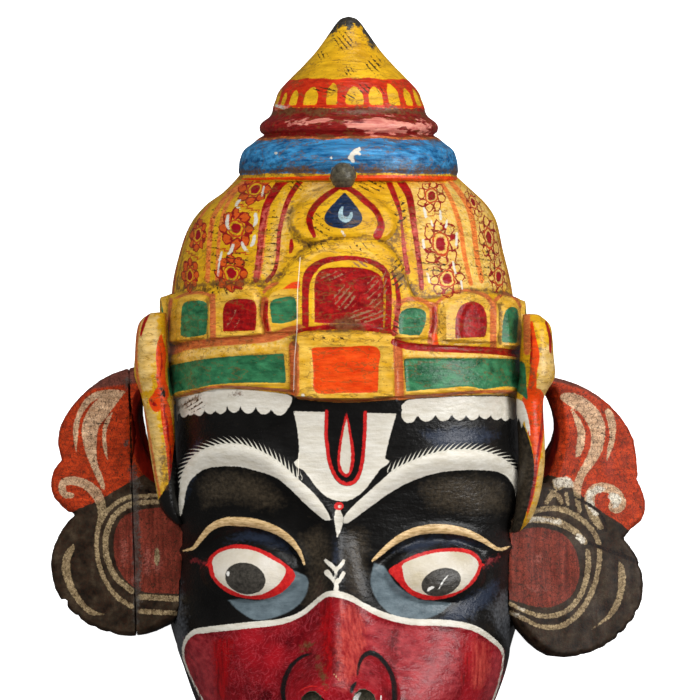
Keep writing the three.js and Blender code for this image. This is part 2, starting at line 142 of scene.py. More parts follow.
# Finial: its axis, the steps that it's spun in, and its radius and height from the tip down
FINIAL_X = 0.4
FINIAL_Z = 10
FINIAL_STEPS = 240
FINIAL_PROFILE = (
    (0, 283), (5, 281.5), (8.2, 278.5), (11.8, 273.5), (21.2, 260.3), (30.3, 250.1),
    (36.9, 243.5), (46.4, 233.4), (49.3, 226.7), (51.1, 221.8), (51.7, 218.6), (53.7, 215.3),
    (58.5, 211.7), (60.2, 208.5), (59.5, 205.2), (57.2, 203.2), (60.5, 201.1), (64.8, 197.6),
    (70.5, 193.1), (72.9, 187.5), (73.8, 182), (73.2, 176.5), (66, 170), (0, 168),
)

# Ears: points round a row, and depth for its width. A row has its height, its middle, how high the
# middle lies above the back, and half its thickness.
EAR_SIDES = 24
EAR_DEEP = 1.5
LEFT_EAR = (
    (84, -126, 62, 5), (78, -129.6, 63, 9), (69, -131, 64, 10.2), (55, -130.8, 64, 11.3),
    (42, -130.6, 64, 11.8), (26, -126.7, 63, 10.5), (-5, -123.7, 62, 9), (-33, -120.5, 61, 7.5),
    (-48, -118, 61, 6), (-58, -112, 61, 2.5),
)
RIGHT_EAR = (
    (83, 121.5, 62, 5), (76, 125, 63, 9.5), (67, 125.8, 64, 10.5), (54, 125.7, 64, 11.5),
    (41, 126, 64, 12), (31, 122.4, 64, 10), (22, 121, 63, 9), (-10, 122.4, 62, 9),
    (-34, 120.6, 61, 8.2), (-53, 116.6, 61, 6), (-63, 111, 61, 2.5),
)


def linear(code):
    """Turns an sRGB hex colour into linear values with full cover."""
    parts = [int(code[i:i + 2], 16) / 255 for i in (1, 3, 5)]
    return [c / 12.92 if c <= 0.04045 else ((c + 0.055) / 1.055) ** 2.4 for c in parts] + [1.0]


# ---------------------------------------------------------------------------
# Lines and outlines on the pattern


def smooth(points, steps=5):
    """A smooth line through a run of points. Columns after u and v, such as a width, go along."""
    points = np.asarray(points, float)
    if len(points) < 3:
        return points
    row = np.vstack([2 * points[0] - points[1], points, 2 * points[-1] - points[-2]])
    t = np.linspace(0, 1, steps, endpoint=False)[:, None]
    parts = []
    for a, b, c, d in zip(row, row[1:], row[2:], row[3:]):
        bend = (2 * a - 5 * b + 4 * c - d) * t**2 + (3 * b - a - 3 * c + d) * t**3
        parts.append(0.5 * (2 * b + (c - a) * t + bend))
    return np.vstack(parts + [points[-1:]])


def patch(*runs):
    """A closed outline: each run is smooth, and corners lie between the runs."""
    return "patch", np.vstack([smooth(run) for run in runs])


def blob(*points):
    """A closed outline that is smooth all round."""
    around = list(points[-2:]) + list(points) + list(points[:2])
    whole = smooth(around)
    return "patch", whole[10:-11]


def stroke(*points):
    """A brush stroke: u, v and half width at each point."""
    return "stroke", smooth(points)


def oval(u, v, wide, high, turn=0.0):
    """An oval given by its middle, its half sizes and its turn in degrees."""
    around = np.radians(np.arange(0, 360, 12))
    a, b = wide * np.cos(around), high * np.sin(around)
    c, s = np.cos(np.radians(turn)), np.sin(np.radians(turn))
    return "patch", np.column_stack([u + a * c - b * s, v + a * s + b * c])


def arch(left, right, top, bottom, shoulder=0.32):
    """A panel outline with an arched top."""
    drop = (right - left) * shoulder
    middle = (left + right) / 2
    crown = [(left, top + drop), (left + drop * 0.45, top + drop * 0.3), (middle, top),
             (right - drop * 0.45, top + drop * 0.3), (right, top + drop)]
    return patch(crown, [(right, bottom), (left, bottom)])


def cover(shape, u, v):
    """How deep inside a shape each spot lies, in pattern units, and below zero outside it."""
    kind, path = shape
    value = np.full(u.shape, -float(REACH))
    spread = REACH + (path[:, 2].max() if kind == "stroke" else 0)
    (low_u, low_v), (high_u, high_v) = path[:, :2].min(0) - spread, path[:, :2].max(0) + spread
    near = (u > low_u) & (u < high_u) & (v > low_v) & (v < high_v)
    if not near.any():
        return value
    pu, pv = u[near], v[near]
    best = np.full(pu.shape, -np.inf)
    inside = np.zeros(pu.shape, bool)
    ends = path[1:] if kind == "stroke" else np.roll(path, -1, axis=0)
    for a, b in zip(path, ends):
        du, dv = b[0] - a[0], b[1] - a[1]
        share = ((pu - a[0]) * du + (pv - a[1]) * dv) / max(du * du + dv * dv, 1e-9)
        share = np.clip(share, 0, 1)
        away = np.hypot(pu - a[0] - share * du, pv - a[1] - share * dv)
        half = a[2] + share * (b[2] - a[2]) if kind == "stroke" else 0.0
        best = np.maximum(best, half - away)
        if kind == "patch" and a[1] != b[1]:
            crosses = (a[1] > pv) != (b[1] > pv)
            inside ^= crosses & (pu < a[0] + (pv - a[1]) / (b[1] - a[1]) * du)
    value[near] = best if kind == "stroke" else np.where(inside, -best, best)
    return np.clip(value, -REACH, REACH)


def cover_all(shapes, u, v):
    """How deep inside the nearest of several shapes each spot lies."""
    value = np.full(u.shape, -float(REACH))
    for shape in shapes:
        value = np.maximum(value, cover(shape, u, v))
    return value


def thrown(x, y, z):
    """Where a point of the wood lies on the pattern."""
    scale = (THROWN_FROM[2] - PLANE) / (THROWN_FROM[2] - z) / UNIT
    u = PATTERN_MIDDLE + (x - THROWN_FROM[0]) * scale
    v = PATTERN_MIDDLE - (y - THROWN_FROM[1]) * scale
    return u, v


def step_up(value, soft):
    """Rises smoothly from 0 to 1 around zero."""
    t = np.clip(value / (2 * soft) + 0.5, 0, 1)
    return t * t * (3 - 2 * t)


# ---------------------------------------------------------------------------
# Shapes carved into the head, on the pattern

BROW_RIDGES = (
    stroke((178, 512, 0), (190, 474, 0), (211, 454, 0), (235, 451, 0), (265, 458, 0),
           (292, 482, 0), (326, 515, 0)),
    stroke((350, 514, 0), (378, 487, 0), (408, 468, 0), (442, 459, 0), (482, 459, 0),
           (508, 470, 0), (521, 505, 0)),
)
LID_LINES = (
    stroke((182.6, 550.6, 0.7), (192.9, 548.4, 1.6), (200.2, 539.6, 2.4), (210.5, 527.9, 3.2),
           (223.7, 522, 4), (238.4, 521.6, 4.6), (256, 523.4, 4.4), (275, 529.8, 4),
           (289.7, 539.6, 3.2), (300, 552.8, 2), (304.4, 564.6, 1)),
    stroke((372.3, 561, 1), (379.6, 554.3, 2.2), (391.3, 544, 3), (406, 535, 3.8),
           (422, 530, 4.3), (439.8, 528.8, 4.7), (457.4, 530.4, 4.2), (472, 534.8, 3.4),
           (483.8, 540.6, 2.6), (495.5, 548.2, 1.8), (502.8, 549.2, 1.5), (509.4, 546.4, 0.7)),
)
LID_CREASES = (
    stroke((200, 549, 0), (217, 538, 0), (240, 533, 0), (262, 536, 0), (284, 547, 0),
           (297, 560, 0)),
    stroke((381, 563, 0), (396, 552, 0), (418, 542, 0), (441, 539.5, 0), (464, 541, 0),
           (484, 549, 0)),
)
EYES = (
    blob((207.5, 562), (213.4, 552.8), (226.6, 546.2), (241.3, 544.3), (258.9, 548.4),
         (276.5, 557.2), (294.5, 572.4), (291.2, 583.6), (279.4, 593.9), (264.8, 599),
         (247.2, 598.6), (229.5, 593.9), (216.3, 583.6), (208.6, 572)),
    blob((388.2, 571.6), (398.7, 563), (416.3, 554.3), (436.8, 549.2), (457.4, 548), (472, 551),
         (480, 558.2), (481.6, 566), (476.4, 579.2), (467.6, 588), (451.5, 596.8), (431, 600),
         (413.3, 596), (398.7, 583.6)),
)
MUZZLE_EDGE = (
    stroke((204, 703, 0.8), (194, 684, 0.8), (184.6, 662, 0.9), (183.3, 648, 1.3),
           (187, 638.5, 2), (194.5, 632, 2.6), (206, 630, 3), (244.8, 625.6, 3.2),
           (276.3, 622.4, 3), (294.5, 617.2, 2.6), (306.6, 610.2, 2.4), (317.5, 600.6, 2.2),
           (327.5, 594.2, 2.6), (338, 594.4, 3.3), (350, 597.8, 3), (362, 604.6, 2.6),
           (376, 612, 3), (391.5, 617.6, 3), (412.7, 622, 3.2), (440, 622.6, 3.2), (462, 625, 3),
           (478, 630, 2.8), (492, 639.6, 2.4), (501.4, 649, 1.8), (503, 660, 1),
           (499.6, 680, 0.8), (492, 703, 0.8)),
)
LIPS = (
    stroke((262, 742, 0), (300, 748, 0), (345, 742, 0), (390, 748, 0), (428, 742, 0)),
    stroke((280, 776, 0), (312, 783, 0), (345, 785, 0), (378, 783, 0), (410, 776, 0)),
)
MOUTH_LINE = (
    stroke((250, 750, 1), (290, 760, 3), (345, 762, 3.4), (400, 760, 3), (440, 750, 1)),
)

NOSE_FURROWS = (
    stroke((311, 653, 0), (300, 657, 0), (288, 671, 0), (283.6, 684, 0), (284, 700, 0),
           (291, 718, 0)),
    stroke((358, 673, 0), (361, 660, 0), (371, 653, 0), (383, 660, 0), (392, 676, 0),
           (394.6, 696, 0), (389, 718, 0)),
)

# Ridges and furrows: lines, rise in millimetres, half width in pattern units
RIDGES = (
    (BROW_RIDGES, 5, 13.5),
    (LID_LINES, 2.4, 5.6),
    (LID_CREASES, -2.0, 4.2),
    (MUZZLE_EDGE, 1.6, 7),
    (LIPS, 5, 13.5),
    (MOUTH_LINE, -7, 6),
    (NOSE_FURROWS, -1.8, 4.5),
)

# Rounded swellings: u, v, rise in millimetres, half width and half height in pattern units
SWELLINGS = (
    (242, 540, -6, 48, 33),
    (440, 538, -6, 48, 33),
    (243, 670, 6, 54, 51),
    (449, 670, 6, 54, 51),
    (344, 818, 6, 45, 27),
    (309, 690, 9, 21, 27),
    (374, 690, 9, 20, 26),
)
EYEBALLS = (
    (251, 572, 9, 51, 30),
    (435, 574, 9, 51, 30),
)

# Crown: the band with its raised frames, the stepped crest and the middle block
ARCH_PANELS = {
    "green": (
        patch([(180.5, 335), (181, 320), (181.8, 308), (185, 302.5), (195, 300.6), (204, 301.2),
               (207.6, 307), (207.4, 320), (206.8, 334.5)],
              [(206.8, 334.5), (195, 336.6), (184, 337.4)]),
        patch([(272.3, 323), (270.4, 312), (269.8, 304), (274, 299.4), (283, 297.2),
               (291.5, 296.4), (295.6, 299.8), (296.6, 309), (297.2, 319)],
              [(290, 321.8), (281.4, 323.8)]),
        patch([(398.9, 333.6), (398.6, 324), (399.6, 314.6), (405.3, 309), (413, 307.8),
               (421.3, 309), (426, 313.6), (425.6, 323), (420.2, 335.4)], [(410, 335.2)]),
        patch([(501.6, 342.3), (502.6, 324), (505.6, 311), (511.6, 307), (517.6, 310), (518, 326),
               (516.6, 343.4)]),
        patch([(122, 340), (122, 316), (128, 306), (142, 303), (152, 308), (154, 338)]),
        patch([(543, 346), (543, 318), (549, 309), (562, 306), (572, 312), (574, 348)]),
    ),
    "crimson": (
        patch([(223.2, 331.6), (222.8, 318), (223.4, 308), (227.6, 301.4), (238, 298.8),
               (251, 299.6), (255.8, 304.6), (256.4, 318), (255.4, 330.6)]),
        patch([(455.6, 338.4), (455.2, 325), (456.4, 315), (461.5, 305.6), (471.6, 301.4),
               (481.6, 305), (486.4, 315), (487, 327), (484.9, 337)]),
        patch([(314.6, 322.6), (314.4, 300), (314.6, 284), (317.7, 273.4), (326, 268.4),
               (348, 267), (366, 268.8), (377, 273), (383, 281), (383.6, 300), (383.4, 329)],
              [(368, 325.4), (350, 323.6), (328, 323.6)]),
    ),
    "orange": (
        patch([(311.8, 352), (314, 347.6), (345, 346.8), (377.6, 347.6), (378.4, 370),
               (377.9, 392.6)], [(345, 393), (316, 392.4), (313.4, 372)]),
    ),
}
STRIP_PANELS = (
    patch([(166.5, 368), (174, 364.6), (205, 359), (237.7, 355.8), (283.7, 353.6)],
          [(286.4, 383)],
          [(262, 382.6), (237.7, 383), (213.5, 384.8), (195, 388.6), (175, 392.6), (168, 396)]),
    patch([(403.9, 363), (407, 358.6), (440, 358.2), (490, 358.2), (515, 359.4), (525.4, 363.6)],
          [(526.4, 392.6), (519, 389), (505.7, 386.4), (484, 389.2), (468, 386.4), (438.7, 388.6),
           (406.4, 391.6)], [(404.6, 375)]),
    patch([(112, 372), (158, 368)], [(160, 396), (112, 400)]),
    patch([(536, 366), (580, 370)], [(580, 398), (536, 394)]),
)
FRAMES = (
    patch([(177.5, 344.5), (176.6, 322), (177, 305), (181, 297.6), (195, 294), (206, 296),
           (210.6, 304), (211, 322), (211, 339)]),
    patch([(214.8, 340.4), (214, 322), (214.6, 307), (219, 292), (233, 285.2), (249.8, 284.6),
           (259.8, 292.6), (262, 303), (263, 316), (266, 326), (266.8, 335.6)]),
    patch([(270.4, 334.8), (267.4, 320), (267, 304), (271.7, 293.6), (282, 289.6), (299.5, 289)],
          [(300, 327)]),
    patch([(392.6, 330), (394.6, 316), (402, 305), (414.6, 301.8), (427, 306.6), (431, 318),
           (428, 331), (424, 337.6)], [(404, 340.6), (393, 338)]),
    patch([(438.6, 341.4), (437.6, 322), (440.6, 304), (456, 294.2), (468.2, 292.8), (482, 296),
           (490.6, 306), (491, 324), (489.6, 344.6)]),
    patch([(496.4, 346.6), (495.6, 322), (496.4, 304), (503, 295.8), (512.6, 299), (520, 310),
           (521, 328), (518.4, 349.4)]),
    patch([(170.6, 343), (171, 330), (171, 305)], [(175.6, 302), (175.6, 344)]),
    patch([(112, 346), (113, 312), (124, 298), (148, 296), (163, 306), (166, 345)]),
    patch([(534, 350), (534, 312), (546, 301), (566, 300), (582, 312), (584, 354)]),
)
STRIP_FRAMES = (
    patch([(100, 364), (140, 362), (168, 359), (200, 352.6), (237.7, 347.8), (287, 345)],
          [(291, 347), (292.6, 388)],
          [(265, 385.8), (237.7, 385.6), (213.5, 387.6), (195, 391), (176, 396.8), (167, 402),
           (100, 408)]),
    patch([(401, 354.6), (440, 353), (490, 353.6), (523, 358.2), (600, 364)],
          [(600, 408), (528, 401)],
          [(524, 396), (512.4, 391), (480, 392.6), (462, 390.4), (430, 394), (403.4, 395.6)]),
)
BLOCK = (
    patch([(298, 333.4), (345, 331), (394, 334.6)], [(393.4, 396.6)],
          [(370, 399.4), (345, 400.2), (320, 399.6), (296, 397.2)]),
)
CREST = (
    patch([(299, 334), (267, 334)],
          [(266, 300), (270, 292), (281, 280), (290, 267), (299.5, 256.6), (310.4, 247.6),
           (322.5, 242), (349, 238.2), (374, 240), (388, 248.6), (398, 262), (404, 276),
           (412, 296), (430, 306)], [(430, 340), (394, 338)]),
)
BAND = (
    patch([(90, 306), (150, 300), (176, 294), (205, 294), (222, 286), (250, 284), (268, 290),
           (300, 286), (345, 284), (398, 296), (430, 300), (455, 293), (480, 292), (500, 295),
           (520, 304), (600, 306)], [(600, 412), (529, 402)],
          [(524.4, 396.6), (512.4, 392.6), (480, 395), (465.5, 392.6), (430, 396), (402, 397)],
          [(345, 398), (292, 391)],
          [(262, 388.6), (237.7, 387.6), (213.5, 389.6), (195, 392.6), (176, 399), (167, 404)],
          [(90, 412)]),
)
GROOVES = (
    stroke((90, 352, 2.6), (140, 353, 2.6), (172, 350.6, 2.8), (185, 346.2, 2.8),
           (213.5, 342.4, 2.8), (262, 338.6, 2.8), (276, 336, 3), (288, 331.6, 3),
           (300, 328.4, 2.6)),
    stroke((394, 342, 2.4), (410, 346.4, 3), (438.7, 348.4, 2.8), (490, 350.6, 2.8),
           (524, 354, 2.8), (600, 358, 2.8)),
    stroke((212.4, 296, 1.6), (212.9, 320, 1.6), (212.8, 341, 1.6)),
    stroke((265, 300, 2), (264.4, 316, 2), (269, 336, 2)),
    stroke((433, 306, 2.6), (434, 322, 2.8), (431.6, 342, 2.8)),
    stroke((493.4, 305, 1.8), (493.2, 324, 1.8), (493.2, 347, 1.8)),
    stroke((293.8, 346, 3.4), (294.6, 370, 3), (294.8, 392, 3)),
    stroke((397.4, 342, 3.2), (398.6, 370, 3.2), (399.4, 396, 3.2)),
    stroke((527, 312, 3), (527.6, 335, 3.4), (527, 352, 3)),
)
JEWEL_PAD = blob((345, 176), (331, 186), (306, 200), (294, 213), (292, 226), (301, 238),
                 (322, 242), (345, 240), (368, 242), (386, 238), (394, 226), (390, 212),
                 (378, 200), (358, 186))
JEWEL_LIP = blob((345, 186), (331, 194), (317, 206), (310, 220), (318, 232), (345, 236),
                 (372, 232), (379, 219), (372, 206), (359, 194))

# Raised parts of the crown: shapes, rise in millimetres, and softness of their edges
RAISED = ((BAND, 5, 1.6), (STRIP_FRAMES, 5.8, 1.6), (FRAMES, 8, 2.4), (BLOCK, 11, 1.8))
GROOVE_DEEP = 1.5
PANEL_DEEP = 1.1


def table_at(rows, y):
    """Reads a table of rows sorted by falling height, with smooth joints. One column a value."""
    rows = np.asarray(rows, float)[::-1]
    height = rows[:, 0]
    slope = np.empty_like(rows)
    slope[1:-1] = (rows[2:] - rows[:-2]) / (height[2:] - height[:-2])[:, None]
    slope[0] = (rows[1] - rows[0]) / (height[1] - height[0])
    slope[-1] = (rows[-1] - rows[-2]) / (height[-1] - height[-2])
    y = np.clip(np.asarray(y, float), height[0], height[-1])
    i = np.clip(np.searchsorted(height, y, side="right") - 1, 0, len(rows) - 2)
    step = height[i + 1] - height[i]
    t = ((y - height[i]) / step)[..., None]
    step = step[..., None]
    value = (2 * t**3 - 3 * t**2 + 1) * rows[i] + (t**3 - 2 * t**2 + t) * step * slope[i]
    value = value + (3 * t**2 - 2 * t**3) * rows[i + 1] + (t**3 - t**2) * step * slope[i + 1]
    return [value[..., k] for k in range(1, rows.shape[1])]


def closing(y, start, end, power):
    """Falls from 1 to 0 along a rounded curve while y runs from start to end."""
    share = np.clip((y - start) / (end - start), 0, 1)
    return (1 - share**power) ** (1 / power)


def section_at(y):
    """Half widths, depth and squareness of the head."""
    left, right, depth, square = table_at(SECTIONS, y)
    narrow = closing(y, CHIN_START, CHIN_Y, HEAD_CURVE)
    shallow = closing(y, JAW_START, CHIN_Y, JAW_CURVE)
    return left * narrow, right * narrow, depth * shallow, square


def crown_relief(u, v):
    """Height of the crown's carving above the plain crown, in millimetres."""
    heights = [rise * step_up(cover_all(shapes, u, v), soft) for shapes, rise, soft in RAISED]
    crest = cover_all(CREST, u, v)
    heights.append(7 * step_up(crest, 2.4) + 0.9 * step_up(crest - 5, 4))
    pad = 6 * step_up(cover(JEWEL_PAD, u, v), 4) + 2.4 * step_up(cover(JEWEL_LIP, u, v), 3)
    pad += 3 * np.maximum(1 - ((u - 345) / 30) ** 2 - ((v - 214) / 26) ** 2, 0)
    height = np.maximum.reduce(heights + [pad])
    height -= GROOVE_DEEP * np.clip(cover_all(GROOVES, u, v) / 2.4 + 0.5, 0, 1)
    panels = sum(ARCH_PANELS.values(), STRIP_PANELS)
    return height - PANEL_DEEP * step_up(cover_all(panels, u, v), 1.4)


def face_relief(u, v, x, y):
    """Height of the face's carving above the plain face, in millimetres."""
    height = np.zeros(u.shape)
    for lines, rise, wide in RIDGES:
        away = np.full(u.shape, np.inf)
        for _, path in lines:
            for a, b in zip(path, path[1:]):
                du, dv = b[0] - a[0], b[1] - a[1]
                t = np.clip(((u - a[0]) * du + (v - a[1]) * dv) / (du * du + dv * dv), 0, 1)
                away = np.minimum(away, np.hypot(u - a[0] - t * du, v - a[1] - t * dv))
        height += rise * np.exp(-((away / wide) ** 2))
    for mid_u, mid_v, rise, wide, high in SWELLINGS:
        height += rise * np.exp(-(((u - mid_u) / wide) ** 2) - ((v - mid_v) / high) ** 2)
    for mid_u, mid_v, rise, wide, high in EYEBALLS:
        out = ((u - mid_u) / wide) ** 2 + ((v - mid_v) / high) ** 2
        height += rise * np.maximum(1 - out, 0) ** 0.8
    rise, wide, middle = table_at(NOSE, y)
    off = np.abs(x - middle) / wide
    nose = RIDGE_SHARE * np.exp(-(off**2.3)) + FOOT_SHARE * np.exp(-((off / 2) ** 2))
    inside = (y < NOSE[0][0]) & (y > NOSE[-1][0])
    return height + np.where(inside, np.maximum(rise, 0) * nose, 0)


def tool_marks(x, y, size, seed):
    """Gentle unevenness left by the gouge: a sum of waves in turned directions, from -1 to 1."""
    value = np.zeros(x.shape)
    for k in range(7):
        turn = seed + 2.4 * k
        across = x * np.cos(turn) + y * np.sin(turn)
        value += np.sin(across * 2 * np.pi / (size * (0.8 + 0.13 * k)) + 1.7 * seed * k)
    return value / 4


# ---------------------------------------------------------------------------
# Helpers for modelling


def deselect():
    """Leaves edit mode and deselects every object."""
    if bpy.context.object and bpy.context.object.mode != "OBJECT":
        bpy.ops.object.mode_set(mode="OBJECT")
    bpy.ops.object.select_all(action="DESELECT")


def choose(piece):
    """Makes one object the only selected one."""
    deselect()
    piece.select_set(True)
    bpy.context.view_layer.objects.active = piece


def spots(piece):
    """The piece's points in millimetres."""
    return read(piece.data.vertices, "co", 3) / MM


def read(items, name, width=1, kind=float):
    """Reads a property of all the points, edges, corners, or faces of a mesh, a vector as a row."""
    values = np.zeros(len(items) * width, kind)
    items.foreach_get(name, values)
    return values.reshape(-1, width) if width > 1 else values


def put(piece, points):
    """Moves the piece's points, given in millimetres."""
    piece.data.vertices.foreach_set("co", (np.asarray(points) * MM).ravel())
    piece.data.update()


def name_piece(piece, name):
    """Names an object and its mesh."""
    piece.name = name
    piece.data.name = name


def clean_up(piece, merge=0.02):
    """Merges doubles and turns all faces outward."""
    choose(piece)
    bpy.ops.object.mode_set(mode="EDIT")
    bpy.ops.mesh.select_all(action="SELECT")
    bpy.ops.mesh.remove_doubles(threshold=merge * MM)
    bpy.ops.mesh.normals_make_consistent(inside=False)
    bpy.ops.object.mode_set(mode="OBJECT")


def close_back(piece):
    """Fills the open back of a carved sheet with one flat face."""
    choose(piece)
    bpy.ops.object.mode_set(mode="EDIT")
    bpy.ops.mesh.select_mode(type="EDGE")
    bpy.ops.mesh.select_all(action="DESELECT")
    bpy.ops.mesh.select_non_manifold()
    bpy.ops.mesh.edge_face_add()
    bpy.ops.mesh.select_mode(type="VERT")
    bpy.ops.object.mode_set(mode="OBJECT")
    clean_up(piece)


def use(piece, kind, **settings):
    """Adds a modifier and applies it."""
    choose(piece)
    modifier = piece.modifiers.new(kind.title(), kind)
    for key, value in settings.items():
        setattr(modifier, key, value)
    bpy.ops.object.modifier_apply(modifier=modifier.name)


def join_solid(body, tool, operation):
    """Joins a solid to the body or cuts it away, and removes the tool."""
    use(body, "BOOLEAN", operation=operation, object=tool, solver="MANIFOLD",
        material_mode="TRANSFER")
    bpy.data.objects.remove(tool)
    if not body.data.polygons:
        raise RuntimeError("joining a solid left nothing of " + body.name)


def grid_sheet(columns, rows, shape):
    """A grid whose points are placed by shape(column share, row share). Returns the object."""
    deselect()
    bpy.ops.mesh.primitive_grid_add(x_subdivisions=columns, y_subdivisions=rows, size=2)
    sheet = bpy.context.object
    flat = spots(sheet) * MM
    put(sheet, shape((flat[:, 0] + 1) / 2, (1 - flat[:, 1]) / 2))
    return sheet


def head_sheet(columns, rows):
    """The outer skin of the head from the crown's top to the chin, without the carving's depth."""
    side = max(int(columns * FLANK_SHARE), 2)
    front = columns - 2 * side

    def place(share, level):
        column = np.rint(share * columns)
        row = np.rint(level * rows)
        y = row_heights(rows)[row.astype(int)]
        left, right, depth, square = section_at(y)
        edge = (1 - FRONT_SHARE**square) ** (1 / square)
        u = FRONT_SHARE * (2 * (column - side) / front - 1)
        w = (1 - np.minimum(np.abs(u), 1) ** square) ** (1 / square)
        lower = np.minimum(column, columns - column)
        flank = lower < side
        w = np.where(flank, edge * lower / side, w)
        flank_u = np.sign(column - columns / 2) * (1 - np.minimum(w, 1) ** square) ** (1 / square)
        u = np.where(flank, flank_u, u)
        half = np.maximum(np.where(u < 0, left, right), NO_SIZE)
        deep = np.maximum(depth, NO_SIZE)
        nx = np.sign(u) * np.abs(u) ** (square - 1) / half
        nz = w ** (square - 1) / deep
        size = np.hypot(nx, nz)
        nx, nz = nx / size, nz / size
        x, z = HEAD_X + u * half, w * deep
        pu, pv = thrown(x, y, z)
        outer = np.abs(u) > GRAZED_FROM
        pu = pu + np.where(outer, np.sign(u) * np.maximum(GRAZED_DEEP * deep - z, 0) / UNIT, 0)
        lift = np.where(pv < CROWN_END, crown_relief(pu, pv), 0)
        lift = lift + np.where(y < FACE_START, face_relief(pu, pv, x, y), 0)
        lift = lift + GOUGE_RISE * tool_marks(x, y, GOUGE_SIZE, 0.7)
        chin = np.where(y < CHIN_Y + CHIN_FADE, (y - CHIN_Y) / CHIN_FADE, 1)
        lift = np.where(row == 0, 0, lift * chin)
        x, z = x + nx * lift, z + np.where(w == 0, 0, nz * lift)
        x = np.where(row == 0, HEAD_X, x)
        z = np.where(row == 0, 0, z)
        return np.column_stack([x, y, z])

    return grid_sheet(columns, rows, place)


def row_heights(rows):
    """Heights of the head's rows: close together on the face and crown, wider over the chin."""
    chin_rows = rows // 10
    face = np.linspace(HEAD_TOP, WIDE_ROWS_START, rows - chin_rows)
    turn = np.linspace(0, np.pi / 2, chin_rows + 1)[1:]
    chin = WIDE_ROWS_START + (CHIN_Y - WIDE_ROWS_START) * np.sin(turn)
    return np.concatenate([[HEAD_TOP], face, chin])


def carve_hollow(side_wall, front_wall):
    """The hollow behind the face, with gouge marks, as a solid to cut away."""
    columns, (top_rows, middle_rows, low_rows) = HOLLOW_COLUMNS, HOLLOW_ROWS
    rows = top_rows + middle_rows + low_rows - 1

    def place(share, level):
        row = np.rint(level * rows)
        turn_top = np.linspace(0, np.pi / 2, top_rows)
        top = HOLLOW_TOP_START + (HOLLOW_TOP - HOLLOW_TOP_START) * np.cos(turn_top)
        middle = np.linspace(HOLLOW_TOP_START, HOLLOW_BOTTOM_START, middle_rows + 2)[1:-1]
        turn_low = np.linspace(0, np.pi / 2, low_rows)
        low = HOLLOW_BOTTOM_START + (HOLLOW_BOTTOM - HOLLOW_BOTTOM_START) * np.sin(turn_low)
        y = np.concatenate([top, middle, low])[row.astype(int)]
        left, right, depth, square = section_at(y)
        size = closing(y, HOLLOW_TOP_START, HOLLOW_TOP, HEAD_CURVE)
        size = size * closing(y, HOLLOW_BOTTOM_START, HOLLOW_BOTTOM, HEAD_CURVE)
        size = np.maximum(size, NO_SIZE)
        turn = (share * columns - 1) / (columns - 2) * np.pi - np.pi / 2
        turn = np.clip(turn, -np.pi / 2, np.pi / 2)
        s, c = np.sin(turn), np.maximum(np.cos(turn), 0)
        out = (np.abs(s) ** square + c**square) ** (-1 / square)
        gouge = GOUGED_SHARE * np.abs(np.sin(y / 7 + 2 * np.sin(turn * 3)))
        gouge = 1 - gouge * np.abs(np.cos(turn * 13))
        x = HEAD_X + (np.where(s < 0, left, right) - side_wall) * size * out * s * gouge
        z = (depth - front_wall) * size * out * c * gouge
        below = (share < 0.5 / columns) | (share > (columns - 0.5) / columns)
        return np.column_stack([x, y, np.where(below, BELOW_BACK, z)])

    hollow = grid_sheet(columns, rows, place)
    close_back(hollow)
    return hollow


def turn_finial():
    """The finial, spun from its profile about the Y axis and cut flat at the back."""
    profile = smooth(FINIAL_PROFILE, 4)
    deselect()
    bpy.ops.mesh.primitive_circle_add(vertices=len(profile), radius=1, fill_type="NOTHING")
    finial = bpy.context.object
    radius = np.maximum(profile[:, 0], 0)
    put(finial, np.column_stack([radius, profile[:, 1], np.zeros(len(profile))]))
    bpy.ops.object.mode_set(mode="EDIT")
    bpy.ops.mesh.select_all(action="SELECT")
    bpy.ops.mesh.spin(steps=FINIAL_STEPS, angle=2 * np.pi, center=(0, 0, 0), axis=(0, 1, 0))
    bpy.ops.object.mode_set(mode="OBJECT")
    points = spots(finial)
    around = np.arctan2(points[:, 2], points[:, 0])
    dent = 1 - 0.006 * (1 + np.sin(3 * around + 1) * np.sin(points[:, 1] / 9)) / 2
    points[:, 0] = points[:, 0] * dent + FINIAL_X
    points[:, 2] = points[:, 2] * dent + FINIAL_Z
    put(finial, points)
    clean_up(finial, 0.05)
    bpy.ops.object.mode_set(mode="EDIT")
    bpy.ops.mesh.select_all(action="SELECT")
    bpy.ops.mesh.bisect(plane_co=(0, 0, 0), plane_no=(0, 0, 1), use_fill=True, clear_inner=True)
    bpy.ops.object.mode_set(mode="OBJECT")
    clean_up(finial)
    return finial


def loft_ear(rows):
    """A long ear: a ring that is extruded from row to row, closed, and rounded."""
    rows = smooth(rows, 4)
    deselect()
    bpy.ops.mesh.primitive_circle_add(vertices=EAR_SIDES, radius=1, fill_type="NGON")
    ear = bpy.context.object
    turns = np.arctan2(spots(ear)[:, 1], spots(ear)[:, 0])

    def ring(y, x, z, r):
        height = z + EAR_DEEP * r * np.sin(turns)
        return np.column_stack([x + r * np.cos(turns), np.full(len(turns), y), height])

    put(ear, ring(*rows[0]))
    for row in rows[1:]:
        bpy.ops.object.mode_set(mode="EDIT")
        bpy.ops.mesh.extrude_region_move()
        bpy.ops.object.mode_set(mode="OBJECT")
        points = spots(ear)
        points[-len(turns):] = ring(*row)
        put(ear, points)
    clean_up(ear)
    use(ear, "SUBSURF", levels=1, render_levels=1)
    return ear


def egg(u, v, z, wide, high, deep, fine=32):
    """An egg-shaped body at a place on the pattern, sizes in millimetres."""
    deselect()
    bpy.ops.mesh.primitive_uv_sphere_add(segments=fine, ring_count=fine // 2, radius=1)
    body = bpy.context.object
    x, y = (u - PATTERN_ORIGIN[0]) * UNIT, (PATTERN_ORIGIN[1] - v) * UNIT
    put(body, spots(body) * MM * [wide, high, deep] + [x, y, z])
    return body


# ---------------------------------------------------------------------------
# Paint of the head, on the pattern. The first list is the lowest coat.


